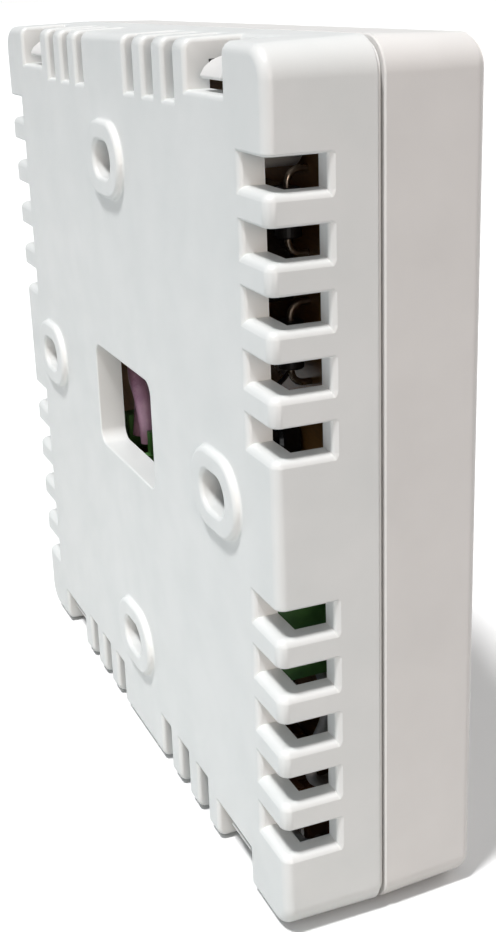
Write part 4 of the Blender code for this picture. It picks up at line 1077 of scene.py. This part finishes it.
def seen_by(tree, *rays):
    """One where any of these kinds of ray arrives, otherwise zero."""
    path = add_node(tree, "ShaderNodeLightPath").outputs
    seen = path["Is %s Ray" % rays[0]]
    for ray in rays[1:]:
        seen = add_node(tree, "ShaderNodeMath", {"operation": "MAXIMUM"},
                        {0: seen, 1: path["Is %s Ray" % ray]}).outputs[0]
    return seen


def floor_paper():
    """Matt white paper, seen white. For the light it throws back onto the object its colour is painted:
    light beside the lit rear face, darker further off, a painted pool of bounce light.
    """
    material, tree, shader, spot = start_material("floor_paper", 0.85)
    near = add_node(tree, "ShaderNodeMapping", {"vector_type": "TEXTURE", "Location": (0.0, 0.10, 0.0)},
                    {"Vector": spot})
    away = add_node(tree, "ShaderNodeVectorMath", {"operation": "LENGTH"}, {0: near.outputs[0]})
    # Painted pool of bounce light: for rays other than camera, glossy and transmission ones the floor's
    # colour is lighter near the object's rear face and darker away from it.
    bounce = blend(tree, "B8BEBA", "767A7E", spread(tree, away.outputs["Value"], {1: 0.05, 2: 0.17}))
    fleck = blend(tree, "FFFFFF", "FCFCFC", noise(tree, spot, 60.0))
    tone = add_node(tree, "ShaderNodeMix", {"data_type": "RGBA"},
                    {0: seen_by(tree, "Camera", "Glossy", "Transmission"), 6: bounce, 7: fleck})
    tree.links.new(tone.outputs[2], shader.inputs["Base Color"])
    shader.inputs["Specular IOR Level"].default_value = 0.0
    return material


floor_mesh = bmesh.new()
bmesh.ops.create_grid(floor_mesh, x_segments=8, y_segments=8, size=9.0)
bmesh.ops.translate(floor_mesh, verts=floor_mesh.verts, vec=(0, 0, -HALF * MM - 0.0002))
floor = to_object("floor", floor_mesh, floor_paper(), scale=1.0)

world = bpy.data.worlds.new("studio")
bpy.context.scene.world = world
world.use_nodes = True
sky = world.node_tree
background = sky.nodes["Background"]
shown = seen_by(sky, "Camera", "Transmission")
sky.links.new(blend(sky, "EDF4FA", "FFFFFF", shown), background.inputs["Color"])
level = add_node(sky, "ShaderNodeMix", {"data_type": "FLOAT", 2: 0.26, 3: 1.0}, {0: shown})
sky.links.new(level.outputs[0], background.inputs["Strength"])


def lamp(name, kind, direction, energy, colour):
    """A light that shines from `direction` towards the origin."""
    data = bpy.data.lights.new(name, kind)
    data.energy = energy
    data.color = linear(colour)[:3]
    item = in_scene(name, data)
    item.rotation_euler = Vector(direction).to_track_quat("Z", "Y").to_euler()
    return item


# Distant softboxes, wider for softer shadows.
for name, direction, strength, width, colour in (
        ("key_softbox", (-0.12, 0.33, 0.93), 2.95, 8, "FFFFFF"),
        ("side_fill", (-0.93, 0.2, 0.16), 1.12, 24, "FFEEE2"),
        ("front_fill", (0.45, -0.85, 0.16), 1.9, 50, "FFFAF5")):
    lamp(name, "SUN", direction, strength, colour).data.angle = math.radians(width)

# A small soft panel close by, unseen itself.
PANEL = (-0.06, 0.13, -0.02)
low_panel = lamp("low_panel", "AREA", PANEL, 0.03, "F0F8FF")
low_panel.data.size = 0.06
low_panel.location = PANEL
low_panel.visible_camera = False
low_panel.visible_glossy = False

AZIMUTH = 247.09
ELEVATION = 18.19
ROLL = -2.005
camera_data = bpy.data.cameras.new("camera")
camera_data.sensor_width = 36.0
camera_data.lens = 50.81
camera_data.shift_y = -0.056
camera_data.clip_start = 0.005
camera = in_scene("camera", camera_data)
camera.location = (-0.14451, 0.04406, 0.04855)
azimuth, elevation = math.radians(AZIMUTH), math.radians(ELEVATION)
backward = Vector((math.sin(azimuth) * math.cos(elevation), -math.cos(azimuth) * math.cos(elevation),
                   math.sin(elevation)))
level_view = (-backward).to_track_quat("-Z", "Y").to_matrix()
camera.rotation_euler = (level_view @ Matrix.Rotation(math.radians(ROLL), 3, "Z")).to_euler()
bpy.context.scene.camera = camera
bpy.context.scene.view_settings.view_transform = "Standard"
